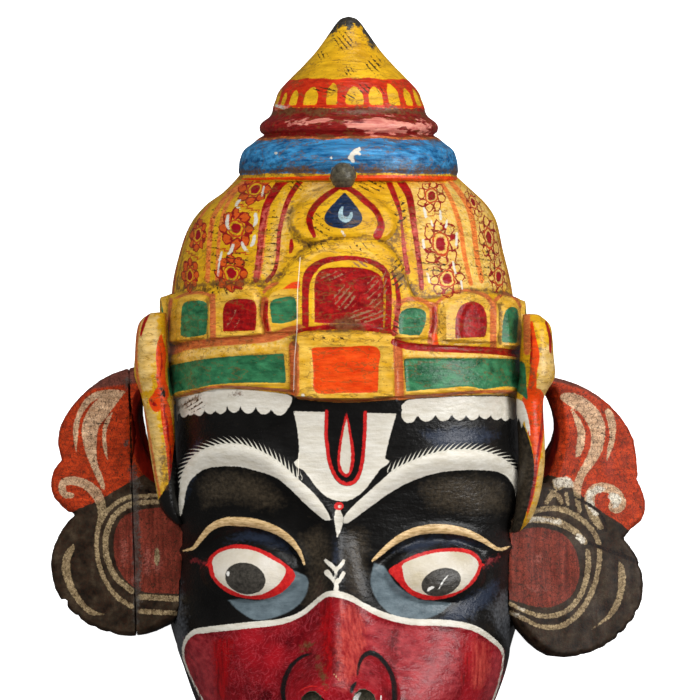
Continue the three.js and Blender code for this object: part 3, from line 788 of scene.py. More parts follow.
def scallops(*bottoms):
    """Rounded teeth along a fringe, each given by its lowest point and half width."""
    return [oval(u, v - 1.15 * half, half, 1.15 * half) for u, v, half in bottoms]


def ring_of(outer, inner, u, v):
    """How deep inside the band between two outlines each spot lies."""
    return np.minimum(cover(outer, u, v), -cover(inner, u, v))


CREST_RING = (
    patch([(302, 326), (301.8, 300), (303, 276), (310.4, 265), (322.5, 258.5), (337, 256),
           (350, 255.7), (365, 257.5), (378.5, 262), (387.9, 270.2), (391.2, 283.6), (392, 305),
           (391, 333)]),
    patch([(309, 326), (308.8, 305), (309.2, 290.6), (311.6, 278.5), (321.3, 266.3),
           (334.6, 261.7), (350, 260.3), (365, 262.8), (377, 268.2), (383.8, 276.9), (385.6, 300),
           (385, 333)]),
)
JEWEL = patch([(344.5, 192), (336, 201), (327.4, 210.6), (324.3, 218.3), (327.4, 224.6),
               (336, 227.8), (345, 228.4), (354, 227.4), (360.4, 223.4), (362.4, 217.6),
               (359.4, 210.6), (352.6, 201.4), (344.5, 192)])
LEFT_BROW = (
    [
        (174.5, 528.6), (178.2, 507.4), (180.4, 481), (184, 469.2), (192.9, 456), (204.6, 448.7),
        (219.3, 444.3), (235.4, 443.5), (250, 446.5), (264.8, 453), (279.4, 461.9), (297, 478),
        (311.7, 491.2), (324.9, 507.4), (331.8, 520.4),
    ],
    [
        (325, 520.6), (308.8, 507.4), (292.6, 491.2), (276.5, 478), (256, 470.7), (235.4, 466.3),
        (214.9, 467), (201.7, 470.7), (191.4, 479.5), (186.3, 489.8), (183.3, 507.4),
        (178.9, 522), (175.6, 528.8),
    ],
)
RIGHT_BROW = (
    [
        (343.7, 522.8), (345.4, 515), (354.7, 504.4), (369.3, 491.2), (384, 478), (394.3, 469.2),
        (409, 461.9), (428, 454.5), (448.6, 450), (469, 449.4), (486.7, 451.6), (501.4, 457.5),
        (513, 466.3), (521.2, 478), (523.8, 492.7), (523.6, 514.7), (521.9, 529),
    ],
    [
        (519.7, 522), (516.4, 505), (514.6, 489.8), (508.7, 478.6), (498.4, 472.2), (479.4, 470),
        (457.4, 470.4), (433.9, 473.6), (410.4, 481.7), (391.4, 492), (373.7, 504.4),
        (357.6, 516.2), (347.3, 523.8),
    ],
)
FRINGES = (
    patch([(173, 402), (177, 398.4), (195.3, 394.2), (219.5, 389), (255, 390.6), (284, 394),
           (292.4, 397)], [(290.8, 405), (287, 409)],
          [(270, 407.4), (228, 405.6), (200, 408), (180, 413), (176, 418)]),
    patch([(401, 406.4), (405, 402), (412, 399.4), (440, 397.6), (465.5, 396.4), (500, 396.6),
           (514, 398.4), (524, 408)], [(528, 417)],
          [(515, 415), (479, 414), (440, 415), (417, 416), (403, 412)]),
)
TEETH = (
    scallops((184, 417.6, 3.4), (190.6, 415.4, 3.6), (199, 416, 4.8), (209.8, 414.2, 5.4),
             (220.8, 414, 5.8), (234, 412.6, 6.4), (248.4, 413.6, 7.2), (264, 414.4, 8),
             (279.6, 415.4, 8.2)),
    scallops((409, 423, 7.8), (426.4, 421.6, 8.8), (443.6, 421.2, 8.2), (459.4, 420.4, 7),
             (472.8, 420.2, 6.6), (485.2, 419, 6.2), (496.4, 420, 5), (505.8, 421, 4.4),
             (513.4, 419.6, 3.2)),
)
WELL = patch([(367.4, 403), (325, 403)],
             [(325, 410.5), (324.2, 434), (325.6, 448), (327.9, 463.4), (333.7, 477.6),
              (341, 484.6), (350, 486), (358.6, 479.9), (363.8, 464), (365.4, 448), (366.4, 434),
              (367.1, 414.2)])
WELL_LINE = stroke((326.6, 411, 1.7), (326.2, 434, 1.7), (327.4, 448, 1.8), (329.8, 463, 1.8),
                   (335.2, 475.8, 1.8), (342, 482.4, 1.8), (349.6, 483.8, 1.8),
                   (357.2, 478.4, 1.8), (362, 463.4, 1.8), (363.6, 448, 1.7), (364.6, 434, 1.7),
                   (365.4, 412, 1.7))
SHIELD = patch([(293.4, 411.3), (296.2, 423), (297.8, 434), (299, 447), (298.6, 458.4)],
               [(293.6, 462), (296.4, 467)],
               [(303.4, 470), (309.6, 478), (316.1, 486.8), (326.4, 496.6), (340, 501.2),
                (351.7, 499.3), (363.5, 491.2), (373.7, 478), (380.6, 468.6)],
               [(387, 464.8), (390.4, 461)],
               [(384.8, 458.6), (387.6, 446), (390.6, 434), (396.5, 413.6)])
DROP = blob((346.5, 411), (343.4, 423), (339.6, 441), (337.4, 460.4), (339.6, 472), (347, 477.4),
            (353.2, 467.7), (354.4, 451.6), (351.4, 434), (349, 421))
DROP_HEART = blob((346.6, 418), (343.8, 431), (341, 448.7), (340.3, 463.4), (343.2, 471.6),
                  (347.4, 474), (349.9, 467.8), (351, 454.5), (349.5, 438.4), (347.8, 427))
EYE_WHITES = (
    blob((212, 563), (215.6, 555.4), (228, 549.4), (241.3, 548.8), (256, 551.4), (270.6, 558.7),
         (285.6, 568.4), (282.4, 579.2), (274, 588), (260, 594.8), (244, 595), (223.7, 585.4),
         (213.4, 573.6)),
    blob((401.8, 565.4), (416.3, 558), (436.8, 552.6), (457.4, 551.8), (470.5, 555), (477.4, 561),
         (477.9, 568.2), (472, 579.2), (461.8, 589.5), (442.7, 595.4), (425, 594.6), (410.4, 588),
         (403, 576.3)),
)
MUZZLE = patch(list(MUZZLE_EDGE[0][1][::5, :2]),
               [(486, 750), (476, 800), (444, 852), (400, 888), (345, 902), (290, 888),
                (248, 852), (220, 800), (208, 748)])

HEAD_PAINT = {
    "pale": list(FRAMES + STRIP_FRAMES + BLOCK) + [
        stroke((392, 300, 1.6), (388, 282, 2), (378, 262, 2.2), (362, 250, 2), (340, 247, 1.8),
               (318, 252, 2), (303, 264, 1.8)),
    ],
    "brick": [("stroke", path + [0, 0, 1.5]) for kind, path in GROOVES[:1] + GROOVES[2:]] + [
        stroke((176, 398.2, 1.3), (195.3, 391.6, 1.6), (219.5, 386.8, 1.6), (262, 388.6, 1.5),
               (293, 391.6, 1.6)),
        stroke((402, 397.2, 2), (430, 396, 2), (465.5, 392.6, 1.7), (490, 391.6, 1.7),
               (512.4, 392.4, 2), (522, 397.6, 2.2), (526.6, 408, 2), (527.4, 420, 1.2)),
        stroke((297, 398, 1.4), (345, 401, 1.4), (396, 398, 1.4)),
        stroke((176, 298, 1.2), (190, 293, 1.5), (207, 294, 1.6), (212, 300, 1.4)),
        stroke((436.4, 318, 1.3), (438, 302, 1.6), (455, 292, 1.4), (470, 290.8, 1.5),
               (486, 296, 2.2), (493.4, 306, 2.4)),
        stroke((495.6, 300, 2), (504, 293.6, 1.5), (516, 299, 1.5), (523, 312, 1.6)),
        stroke((394.6, 312, 2), (402, 301.6, 2.4), (415, 299, 2.2), (428, 303.6, 2.4),
               (434.6, 316, 2.6)),
        stroke((264, 292, 1.6), (268.6, 287, 1.8), (278, 283, 1.4)),
        stroke((168, 330, 2.2), (168.6, 312, 2.6), (171, 300, 2)),
        stroke((182, 178, 2), (172, 205, 2), (158, 240, 2.4), (150, 290, 2)),
        stroke((512, 180, 2), (524, 215, 2), (532, 250, 2.4), (536, 296, 2)),
    ],
    "orange": list(ARCH_PANELS["orange"]) + [
        patch([(281, 290), (291, 283), (300, 281)], [(300, 288.6)], [(286, 288.6)]),
        stroke((434.6, 336, 2.6), (436, 345, 2.8)),
    ],
    "stripe": [
        stroke((254.8, 175.9, 1.4), (237.9, 189.2, 1.6), (226.9, 205, 1.8), (222, 219.5, 1.9),
               (218.5, 243.8, 1.8), (216.7, 281, 1.8)),
        stroke((248.8, 178.3, 1.6), (228.2, 194, 2), (217.3, 209.8, 2.2), (211.8, 223.2, 2.4),
               (208.8, 249.8, 2.4), (207.6, 281, 2.2)),
        stroke((438.1, 178.3, 1.8), (449, 195.3, 2.1), (456.3, 213.5, 2.3), (461.2, 232.9, 2.3),
               (464.8, 257, 2.2), (470.9, 284, 2.1)),
        stroke((446.6, 177, 2.2), (460, 192.9, 2.6), (468.4, 207.4, 2.8), (473.3, 225.6, 2.7),
               (476.9, 255.9, 2.5), (481.8, 281, 2.4)),
        stroke((269.6, 206, 0.6), (266.4, 220, 1.4), (264, 238, 1.7), (261.6, 262, 1.6),
               (259, 279, 1.4)),
        stroke((238, 177, 1.4), (214, 197, 1.8), (198, 220, 1.6)),
        stroke((357, 178.2, 2.4), (390, 176.6, 3), (430, 175.6, 3.2), (462, 173, 3)),
        stroke((222, 172.6, 1.4), (262, 170.4, 1.8), (326, 170, 1.6)),
        stroke((470, 179, 1.4), (488, 200, 1.6), (499, 226, 1.6), (505, 252, 1.6),
               (509, 286, 1.6)),
    ],
    "wash": [
        patch([(404, 182), (440, 178), (482, 188)], [(506, 230), (514, 290)],
              [(436, 297), (410, 246)]),
        patch([(284, 190), (262, 262), (262, 282)], [(276, 280), (296, 214)]),
        patch([(178, 346), (290, 334)], [(292, 346), (178, 362)]),
        patch([(402, 346), (522, 352)], [(522, 360), (402, 358)]),
        patch([(320, 174), (306, 184), (296, 200)], [(318, 200), (340, 182)]),
    ],
    "rose": [
        stroke((266.9, 208, 1.4), (263.3, 222, 2.4), (260.9, 238, 2.6), (258.5, 262, 2.6),
               (256, 280, 2.6)),
        stroke((288.7, 199, 1), (282.7, 216, 1.8), (279, 235, 1.9), (277.8, 256, 1.7),
               (274, 272, 1.8), (267, 281, 1.9)),
        stroke((401, 218, 1), (404.2, 250, 2), (407.9, 272, 2.2)),
        stroke((413, 214, 1.8), (417.5, 250, 2.4), (420.6, 274, 2.4), (421.6, 288, 2.4)),
        stroke((394, 302, 4), (397, 312, 4)), stroke((398, 320, 2), (395, 333, 2)),
    ],
    "crimson": list(ARCH_PANELS["crimson"]) + [
        ("stroke", GROOVES[1][1] + [0, 0, 0.8]),
        stroke((391, 268, 0.8), (396, 282, 1.8), (398.6, 300, 2.6), (397, 316, 2.4),
               (394, 334, 2.4)),
        stroke((296, 331.6, 1.6), (312, 328.6, 2.2), (345, 326.8, 2.8), (372, 328.4, 3),
               (394, 332.4, 2.4)),
        stroke((266.4, 303, 2), (265.4, 318, 2.4), (268, 330, 1.6)),
        stroke((434, 308, 2), (434.4, 322, 2.6), (431.4, 332, 2)),
        stroke((291.2, 174.7, 4.4), (281, 183, 4.4), (275.4, 190.4, 4.2), (266.9, 205, 3.6),
               (263.3, 219.5, 3.4), (260.9, 237.7, 3.2), (258.5, 261.9, 3.1), (256, 280, 3)),
        stroke((305.7, 174.7, 2.7), (296, 186.8, 2.9), (288.7, 198.9, 2.6), (282.7, 215.9, 2.2),
               (279, 235.3, 2.1), (277.8, 255.9, 1.9), (274.2, 271.6, 2), (266.9, 281, 2.1)),
        stroke((387.3, 178.3, 3), (393.3, 192.9, 2.8), (399.4, 209.8, 2.2), (401.8, 225.6, 1.3),
               (404.2, 249.8, 2.2), (407.9, 272, 2.5)),
        stroke((399.4, 179.5, 3.9), (407.9, 192.9, 3.8), (411.5, 207.4, 3.4), (413.9, 225.6, 3),
               (417.5, 249.8, 2.6), (420.6, 274, 2.6), (421.6, 288, 2.6)),
        stroke((291.2, 240, 1.4), (291.6, 247, 2.4), (290.4, 252, 1.6)),
        stroke((339.6, 186.8, 2.2), (325.1, 196.5, 2.9), (314.2, 207.4, 3.2), (309.3, 218.3, 3.1),
               (311, 228, 2.9), (314.4, 236, 2)),
        stroke((348, 188, 2.6), (357, 193.6, 3), (365, 201, 3.2), (373, 208, 3.1),
               (378.4, 215.4, 3), (381.2, 226, 3.8), (377.4, 235.6, 4.4)),
        stroke((343, 187, 3.4), (349, 186, 3.2)),
    ],
    "green": list(ARCH_PANELS["green"] + STRIP_PANELS),
    "navy": [JEWEL],
    "ice": [
        stroke((351.4, 212, 0.9), (350.4, 217, 2), (345.6, 219.8, 2.8), (341, 216.4, 2.6),
               (341, 210.4, 1.8), (342.4, 207.4, 1.2)),
    ],
    "black": [
        patch([(60, 408), (140, 406), (168, 403.6), (176, 400.6), (195.3, 394.4), (219.5, 389.6),
               (262, 391.4), (293, 395)], [(299, 399.4), (345, 402.6), (396, 399.6)],
              [(404, 400), (412, 398.6), (440, 397), (465.5, 395.4), (500, 395.4), (515, 397.4),
               (524, 403), (529, 415)], [(560, 404), (640, 404)], [(640, 1000), (60, 1000)]),
    ],
    "grey": [
        patch([(292, 570), (306.5, 577), (307.6, 589), (301.4, 601.6), (289, 611.6), (270, 618.6),
               (254, 619.6), (238, 610), (228, 600)], [(240, 599), (262, 600), (284, 590)]),
        patch([(374, 563), (370.6, 580.7), (374.5, 595.4), (384, 608.4), (398.7, 618),
               (421, 619.6), (440, 613), (452, 603)], [(420, 600), (398, 586), (384, 566)]),
    ],
    "muzzle": [MUZZLE],
    "arcs": [
        stroke((311.5, 653.9, 0.9), (303, 656.3, 1.6), (293.3, 663.6, 2), (287.2, 673.3, 2.4),
               (283.6, 684.2, 2.6), (283, 693.9, 2.4), (285.6, 706, 1.8), (290, 718, 1)),
        stroke((357.6, 675, 0.9), (359.4, 663.6, 1.6), (364.2, 655.4, 2.2), (371.5, 653, 2.6),
               (380, 657.5, 2.4), (388.5, 668.5, 2.2), (393.3, 680.6, 2.6), (394.6, 694, 2.8),
               (393.6, 706, 2), (390, 718, 1)),
        # A small dark hollow beside the right nostril, painted as shade
        stroke((351.2, 692, 1.4), (352.8, 687, 2.2), (355.6, 682.8, 1.2)),
    ],
    "tan": list(LID_LINES) + [stroke((332.6, 673, 0.3), (336, 676.6, 0.8), (339.6, 681, 0.5))],
    "white": [
        stroke((338, 512, 3), (338.6, 518, 4.4), (338.6, 526, 3.4), (337.6, 537, 0.6)),
        stroke((325, 559.8, 1.2), (328.6, 563.2, 2.1), (333.4, 567.4, 2), (335.4, 573, 0.9),
               (335.8, 578, 0.6)),
        stroke((343.6, 560.8, 1.6), (341.4, 564.8, 2.1), (337.8, 568.6, 1.6), (336.4, 573, 0.8),
               (336, 578, 0.6)),
        stroke((327, 572.6, 3), (330, 576, 2.3), (333.4, 580.6, 1.4), (335, 584, 1)),
        stroke((343.6, 573.4, 2), (341, 577.8, 1.8), (337.6, 583.6, 1.1)),
        stroke((336.6, 580, 1.6), (336.4, 588, 2.3), (336.2, 590.8, 1)), SHIELD,
        patch(*LEFT_BROW), patch(*RIGHT_BROW),
        stroke((176.4, 404, 1.8), (176.4, 412, 1.4), (177, 421, 0.7)),
        stroke((517.6, 410, 1.8), (520.6, 424, 0.9)),
        stroke((523, 408, 2.2), (526, 420, 1.6), (529.4, 434, 0.9)),
        stroke((228, 215, 1.4), (227, 224, 1.8), (229, 229, 1)),
        stroke((255.4, 214, 1.6), (256, 221, 1.9), (254, 226, 1)),
        stroke((254.6, 236, 1.5), (253, 243, 1.8), (250.6, 246, 0.9)),
        stroke((242, 243, 1.5), (245, 249, 1.6), (248, 251, 0.8)),
        stroke((233, 245, 1.5), (231, 251, 1.7), (228, 254, 0.9)),
        stroke((222, 252, 1), (219.6, 260, 1.3)), stroke((262, 177, 1.2), (268, 178.4, 1.2)),
        stroke((240, 200, 1.3), (236, 205, 1.4), (240, 209, 1)),
        stroke((264, 186, 0.9), (262, 196, 1.2)), stroke((219, 262, 1), (218, 276, 1)),
        stroke((424, 208, 1.1), (426, 217, 1.3)), stroke((440, 211, 1), (441, 219, 1.3)),
        stroke((431, 221, 1.1), (433, 226, 1)), stroke((447, 220, 1), (446, 227, 1.3)),
        stroke((456.6, 233, 1), (456.4, 245, 1.3)), stroke((423, 240, 1.4), (424, 248, 1.2)),
        stroke((427, 273, 1), (430, 283, 1.2)), stroke((453, 262, 1), (455.6, 273, 1.2)),
        stroke((461, 281, 1), (462, 289, 1)), oval(303, 395.4, 2.2, 1.6),
        stroke((341.6, 231, 1.2), (345, 236, 1)),
    ] + list(FRINGES) + [tooth for row in TEETH for tooth in row] + list(MUZZLE_EDGE),
    "well": [WELL],
    "scarlet": list(EYES) + [
        DROP, WELL_LINE, oval(338.8, 506, 4.8, 4.2), stroke((480, 566, 1.6), (484, 564.4, 1)),
        stroke((209, 566, 1.4), (206, 565, 0.8)),
        stroke((298, 694, 0.5), (303, 688.8, 0.7), (312, 686.4, 0.8), (322, 688.8, 0.7),
               (330, 694.6, 0.5)),
    ],
    "shell": list(EYE_WHITES) + [DROP_HEART, oval(339.6, 506.4, 2, 1.5)],
    "pupil": [oval(245.4, 578.5, 20.5, 15.6, 15), oval(441.2, 582.2, 20.3, 13.6, -18)],
    "glint": [
        oval(228, 573.6, 1.7, 2.6),
        stroke((427.6, 590.6, 1.1), (430.6, 588.2, 1.5), (433.4, 587.2, 1)),
        stroke((438.4, 589.6, 0.6), (444, 580, 0.7), (448, 575, 0.5)),
        # A painted highlight on the dark of the right nostril
        stroke((355.4, 702, 2.6), (356.6, 697, 2.4), (360, 693.4, 1.2)),
        stroke((381, 696, 0.6), (381.4, 702, 0.8)),
    ],
    # Pink wear, red eye-corner tails, and painted highlights: the pink gloss on the cheeks and
    # beside the nose
    "blush": [
        stroke((484, 564.6, 1.2), (490, 561.6, 1.1), (496, 558.6, 0.8)),
        stroke((206, 565, 1.2), (200, 562.6, 1), (195, 560.4, 0.7)),
        patch([(186, 640), (200, 634), (214, 640)], [(222, 700), (206, 705), (192, 672)]),
        patch([(346, 612), (372, 618), (392, 630), (386, 650)],
              [(366, 650), (352, 672), (344, 690), (340, 640)]),
        patch([(398, 628), (440, 630), (458, 640), (460, 690)],
              [(430, 712), (404, 700), (396, 664)]),
        patch([(494, 648), (503, 656), (498, 700)], [(486, 700), (488, 660)]),
        stroke((362, 664, 4), (368, 676, 6), (374, 684, 4)),
    ],
    "ember": [
        patch([(474, 638), (488, 644), (490, 668)], [(482, 690), (472, 684), (471, 655)]),
        # Paler red down the right side of the nose, as painted light
        patch([(339, 600), (352, 606), (364, 618), (366, 645), (358, 672)],
              [(346, 690), (338, 680), (337, 640)]),
    ],
    "rouge": [
        stroke((464.6, 634, 2.4), (466.6, 655, 4), (465, 680, 4)),
        # Darker red down the left side of the nose, as painted shade
        stroke((328, 604, 5), (327, 640, 6.4), (329, 670, 5)),
        patch([(212, 640), (236, 636)], [(226, 700), (216, 700)]),
    ],
    "lips": [
        stroke((262, 748, 2), (300, 752, 8), (345, 750, 10), (390, 752, 8), (428, 748, 2)),
        stroke((280, 770, 2), (312, 776, 7), (345, 778, 8), (378, 776, 7), (410, 770, 2)),
    ],
    "gap": list(MOUTH_LINE),
}

# Loosely edged soiling and painted shade, dusty patches, and painted reflections, laid over the
# coats with broken edges
HEAD_WEAR_AND_PAINTED_LIGHT = {
    # Soiling, and painted shade along the jewel pad's edges, down the dome's left side and beside
    # the nose
    "grime": [
        stroke((176, 290, 3), (215, 283, 4), (262, 281, 4), (284, 272, 3)),
        stroke((392, 262, 3), (403, 280, 4), (420, 291, 3), (440, 291, 2)),
        stroke((470, 291, 2), (510, 294, 2.4), (536, 296, 2)),
        stroke((292, 203, 2), (290.6, 222, 2), (300, 237, 3), (306, 243, 2)),
        stroke((400, 224, 2), (396, 238, 3), (391, 246, 2)),
        stroke((296, 262, 1), (308, 247, 2), (330, 240, 1.6)),
        patch([(328, 324), (338, 318), (350, 315), (360, 320), (366, 330)],
              [(366, 333), (326, 332)]),
        stroke((300, 650, 2), (306, 646, 3.4), (313, 643, 2)),
        stroke((317, 655, 1), (320, 666, 2), (323, 678, 2), (327, 690, 1.4)),
        stroke((294, 336, 3), (295, 350, 3)), stroke((176, 410, 2), (186, 403, 2), (198, 396, 2)),
        oval(236, 394.6, 6, 2), stroke((276, 196, 2), (282, 202, 2.4)),
        stroke((402, 224, 3), (406, 226, 2)),
        stroke((160, 348, 2), (175, 345, 2), (214, 341, 1.6)),
        stroke((212, 176, 3), (196, 205, 3), (186, 232, 3), (180, 262, 3), (176, 288, 3)),
        stroke((480, 178, 1.6), (500, 212, 2), (512, 262, 2)),
    ],
    "dust": [
        patch([(200, 484), (214, 474), (240, 473), (262, 480), (284, 500)],
              [(270, 508), (230, 500), (206, 506)]),
        patch([(420, 488), (445, 478), (480, 477), (502, 486)],
              [(506, 510), (470, 512), (430, 506)]),
        patch([(300, 535), (322, 530), (328, 560), (326, 600)], [(306, 604), (312, 570)]),
        patch([(350, 530), (366, 534), (364, 566), (362, 598)], [(350, 588), (346, 560)]),
    ],
    # Painted reflection: a grey gloss along the outer edges of the cheeks
    "haze": [
        patch([(160, 560), (174, 566), (181, 590), (187, 622), (188, 650)],
              [(176, 700), (160, 640)]),
        patch([(488, 606), (505, 590), (516, 600)], [(512, 650), (504, 640), (494, 626)]),
    ],
    # Painted reflections of the lamps on the black of the lids, the forehead, the temple and the
    # nose ridge
    "sheen": [
        patch([(225, 540), (250, 531), (280, 540), (292, 552)], [(270, 546), (240, 541)]),
        patch([(392, 552), (420, 539), (460, 538), (480, 546)], [(440, 546), (410, 552)]),
        stroke((336.6, 540, 1.4), (336.8, 552, 1.8), (336, 562, 1.2)),
        patch([(452, 606), (480, 590), (500, 578)], [(494, 600), (466, 620), (440, 622)]),
        patch([(420, 432), (460, 426), (500, 434)], [(480, 446), (436, 448)]),
        patch([(186, 460), (200, 440)], [(196, 470), (186, 500)]),
    ],
}

# Flowers of the dome: middle, half width, half height, turn in degrees, and 1 for filled petals
FLOWERS = (
    (254.8, 189.2, 17, 12.5, -35, 1), (236.4, 228.6, 15.5, 19, 0, 1), (231.2, 273, 15, 18, 0, 1),
    (197.9, 235.3, 8, 16, 8, 1), (190, 275, 8, 16, 0, 1), (431.5, 195.9, 13, 15, 10, 0),
    (440.6, 243.8, 17, 22.5, -6, 0), (447.2, 279, 16, 17, -6, 0), (473, 202, 6.5, 14, -20, 0),
    (488.8, 238, 9, 21, -10, 0), (498.7, 277, 9, 18, -6, 0), (162, 240, 9, 17, 6, 1),
    (156, 280, 9, 17, 0, 1), (520, 240, 9, 19, -6, 0), (526, 280, 9, 18, -4, 0),
)

# Hairline cracks in the paint: lines on the pattern
HAIRLINES = (
    [(300.4, 256), (297.6, 290), (297, 330), (294.4, 360), (293.6, 394)],
    [(299, 452), (298.2, 465), (298.6, 478)],
)

# Groups of short scratches: the oval that they lie in, their direction in degrees, spacing, and
# half width. Kept on the points, the scratches lie SCRATCH_STEP apart.
SCRATCH_STEP = 5
SCRATCHES = (
    (344, 40, 10, 11, 52, 4.2, 0.6), (349, 71, 5, 5.5, 60, 3.6, 0.6),
    (374, 64, 9, 8, 48, 4.4, 0.7), (322, 56, 6, 5, 60, 4, 0.5), (325, 90, 12, 4, 14, 3.6, 0.6),
    (364, 88, 8, 6, 46, 4, 0.6), (349, 97, 9, 3.6, 30, 3.4, 0.6), (381, 90, 6, 5, 60, 3.4, 0.5),
    (272, 240, 7, 38, 4, 6.6, 0.35), (236, 262, 13, 9, 8, 5.2, 0.4),
    (214, 240, 5, 36, 10, 7.4, 0.35), (372, 186, 14, 7, 28, 4.6, 0.6),
    (401, 212, 6, 16, -30, 7, 0.7), (432, 268, 18, 9, 6, 6.4, 0.35),
    (484, 262, 12, 20, 8, 7.6, 0.35), (296, 186, 8, 6, 40, 4, 0.6),
    (398, 274, 8, 17, -42, 5.4, 0.8), (318, 246, 12, 5, 60, 6, 0.6),
    (362, 246, 12, 5, 50, 6.4, 0.6), (320, 224, 12, 12, 35, 6, 0.5), (396, 326, 5, 9, 30, 5, 0.7),
    (442, 322, 4, 12, 50, 4.4, 0.35), (218, 290, 16, 5, 70, 6.6, 0.5),
    (194, 405, 12, 7, -32, 3.8, 0.6), (330, 338, 20, 3, 20, 5.6, 0.4),
)
SCUFFS = (
    (344, 297, 12, 13, -50, 5.2, 0.7), (374, 292, 9, 16, -44, 5.6, 0.7),
    (368, 316, 20, 8, -20, 4.6, 0.9), (332, 276, 14, 6, -24, 5, 0.6),
    (360, 264, 9, 5, 40, 4.4, 0.9), (384, 284, 4, 14, -60, 5, 0.8), (232, 318, 7, 9, -60, 8, 0.5),
)

# Ears, on the pattern
EAR_PAINT = {
    "cream": [
        patch([(140, 318), (154, 314), (160, 330), (156, 352), (153, 372), (151, 392)],
              [(140, 386), (136, 350)]),
        patch([(146, 396), (152, 410), (160, 424), (163, 446), (163, 462), (160, 484),
               (157, 497)], [(150, 462), (143, 420)]),
        patch([(541, 350), (553, 346), (555, 376), (550, 402), (543, 402)],
              [(536, 384), (537, 362)]),
        stroke((546, 405, 2.2), (547, 426, 2.2), (546, 448, 3), (543.4, 470, 4.4),
               (540.4, 490, 4.4), (534.6, 508, 3.4), (528, 524, 1.8)),
    ],
    "pale": [
        oval(155, 332, 6, 9),
        patch([(158, 450), (168, 446), (167, 474), (163, 492)], [(158, 492), (157, 470)]),
    ],
    "brick": [
        stroke((147, 313, 1.2), (140, 322, 1.2), (136.6, 345, 1.3), (137, 372, 1.3),
               (141, 392, 1.1)),
        stroke((144, 410, 1), (150, 440, 1), (156, 475, 1), (160, 496, 1.2)),
        stroke((526.6, 314, 3.4), (527, 335, 3.8), (527, 352, 3.2)),
        stroke((167, 312, 2), (168.4, 330, 2.6), (168, 345, 2)),
    ],
    "orange": [
        patch([(161.6, 333), (164.4, 345), (166.4, 356), (165.4, 370), (166, 380), (168.6, 390),
               (169, 398)],
              [(160, 400), (157.8, 387), (156, 378.4), (156.6, 370), (155.8, 356), (157.4, 343),
               (161, 333)]),
        blob((148.4, 398.6), (152, 395.4), (156, 389), (161, 386), (166.4, 390), (167, 398),
             (163, 405), (158, 411.6), (153.6, 411), (149.6, 406)),
        patch([(166, 397), (170, 408), (173, 426), (174.6, 448), (174, 470), (171, 484)],
              [(168.6, 480), (167, 462), (165.4, 446), (162.6, 428), (160.4, 412), (161.6, 400)]),
        stroke((531.4, 322, 1.2), (533.6, 340, 3), (535.6, 356, 4), (533.4, 372, 3.6),
               (532, 388, 4.4)),
        patch([(525, 388), (541, 390), (545, 405), (544.6, 425), (541.6, 450), (537.6, 474),
               (533.6, 496), (526.6, 519)],
              [(527, 506), (531, 484), (533.6, 466), (532.4, 450), (527, 430), (521, 406)]),
    ],
    "crimson": [
        stroke((164, 409, 0.8), (167, 424, 1.4), (168.6, 440, 1)),
        stroke((151, 400, 1), (154, 404, 1.8), (158, 407, 1)),
        stroke((161, 352, 0.4), (162, 364, 1), (160, 376, 0.8)),
        stroke((149, 314, 1), (144.6, 322, 1.6), (140.6, 336, 1)),
        stroke((160.4, 398, 1), (164.6, 404, 1.2)),
        stroke((170, 444, 0.8), (170.6, 462, 1.3), (169, 482, 1)),
        stroke((546, 322, 1.2), (550, 336, 1.6), (550.4, 352, 1.2)),
        stroke((543.4, 404, 0.8), (542, 425, 1.3), (539, 446, 1.4), (537.4, 456, 1.2)),
        stroke((529, 412, 0.6), (533, 434, 0.9)),
        stroke((537, 456, 0.9), (535.6, 472, 1.4), (532.6, 490, 1.4), (528.4, 508, 1)),
        stroke((530.6, 330, 0.8), (531.6, 350, 1.2), (530, 366, 1)),
    ],
    "green": [
        patch([(512, 362), (522, 361.6), (525.4, 367), (526.4, 384), (528, 402)],
              [(523, 396), (512, 388)]),
        patch([(167.4, 368), (180, 365)], [(180, 392), (171, 396), (168.4, 386)]),
    ],
    "white": [
        patch([(510, 397), (522, 401), (526.6, 412), (529.4, 424), (531, 438)],
              [(526.4, 430), (524, 421), (521.6, 428), (519, 417), (516, 424), (510, 420)]),
        patch([(174.6, 402), (182, 398)], [(182, 418), (176.4, 424), (175, 414)]),
    ],
    # Painted light: the black of the right ear's inner side made paler where light falls on it
    "dust": [
        patch([(524, 424), (530, 440), (534, 458), (534.6, 474), (531, 496), (526.6, 514),
               (521, 530)], [(508, 540)], [(512, 424)]),
    ],
    "black": [
        # The ear's hollow, painted dark as shade
        stroke((160, 388, 1), (163.6, 392, 1.7), (164.2, 397.4, 1.2)),
        stroke((158.4, 393.6, 0.8), (160.8, 398, 1.2)),
        patch([(176, 398), (175.6, 430), (172.6, 458), (169.6, 480), (163, 492), (158, 500)],
              [(150, 560), (210, 580)], [(210, 398)]),
        patch([(518, 414), (525, 428), (530, 442), (533.6, 458), (534.2, 474), (530.8, 494),
               (526.6, 512), (520.6, 530)], [(500, 560)], [(500, 414)]),
    ],
    # Soiling, and painted shade round the ear's hollow
    "grime": [
        stroke((154.6, 386, 1.6), (156.6, 391, 2), (164, 388, 2.2), (167, 398, 1.6)),
        stroke((163, 446, 1), (164.6, 458, 2.2), (164, 470, 1.4)),
        stroke((167, 462, 2), (166, 488, 2.4)), stroke((160, 396, 1.4), (163, 402, 1)),
        stroke((531, 366, 2.2), (533.6, 376, 3), (531, 387, 2.6)),
        stroke((540, 340, 1), (541, 350, 1.4)), stroke((162, 440, 1), (163, 475, 2)),
    ],
}

# Finial: the pattern is wound round it, u from the middle of the front. The finial's radius there,
# how much larger it looks for being nearer, and the depth where its paint ends at the back
FINIAL_ROUND = 74
FINIAL_NEAR = 1.0035
BEHIND_FINIAL = -40
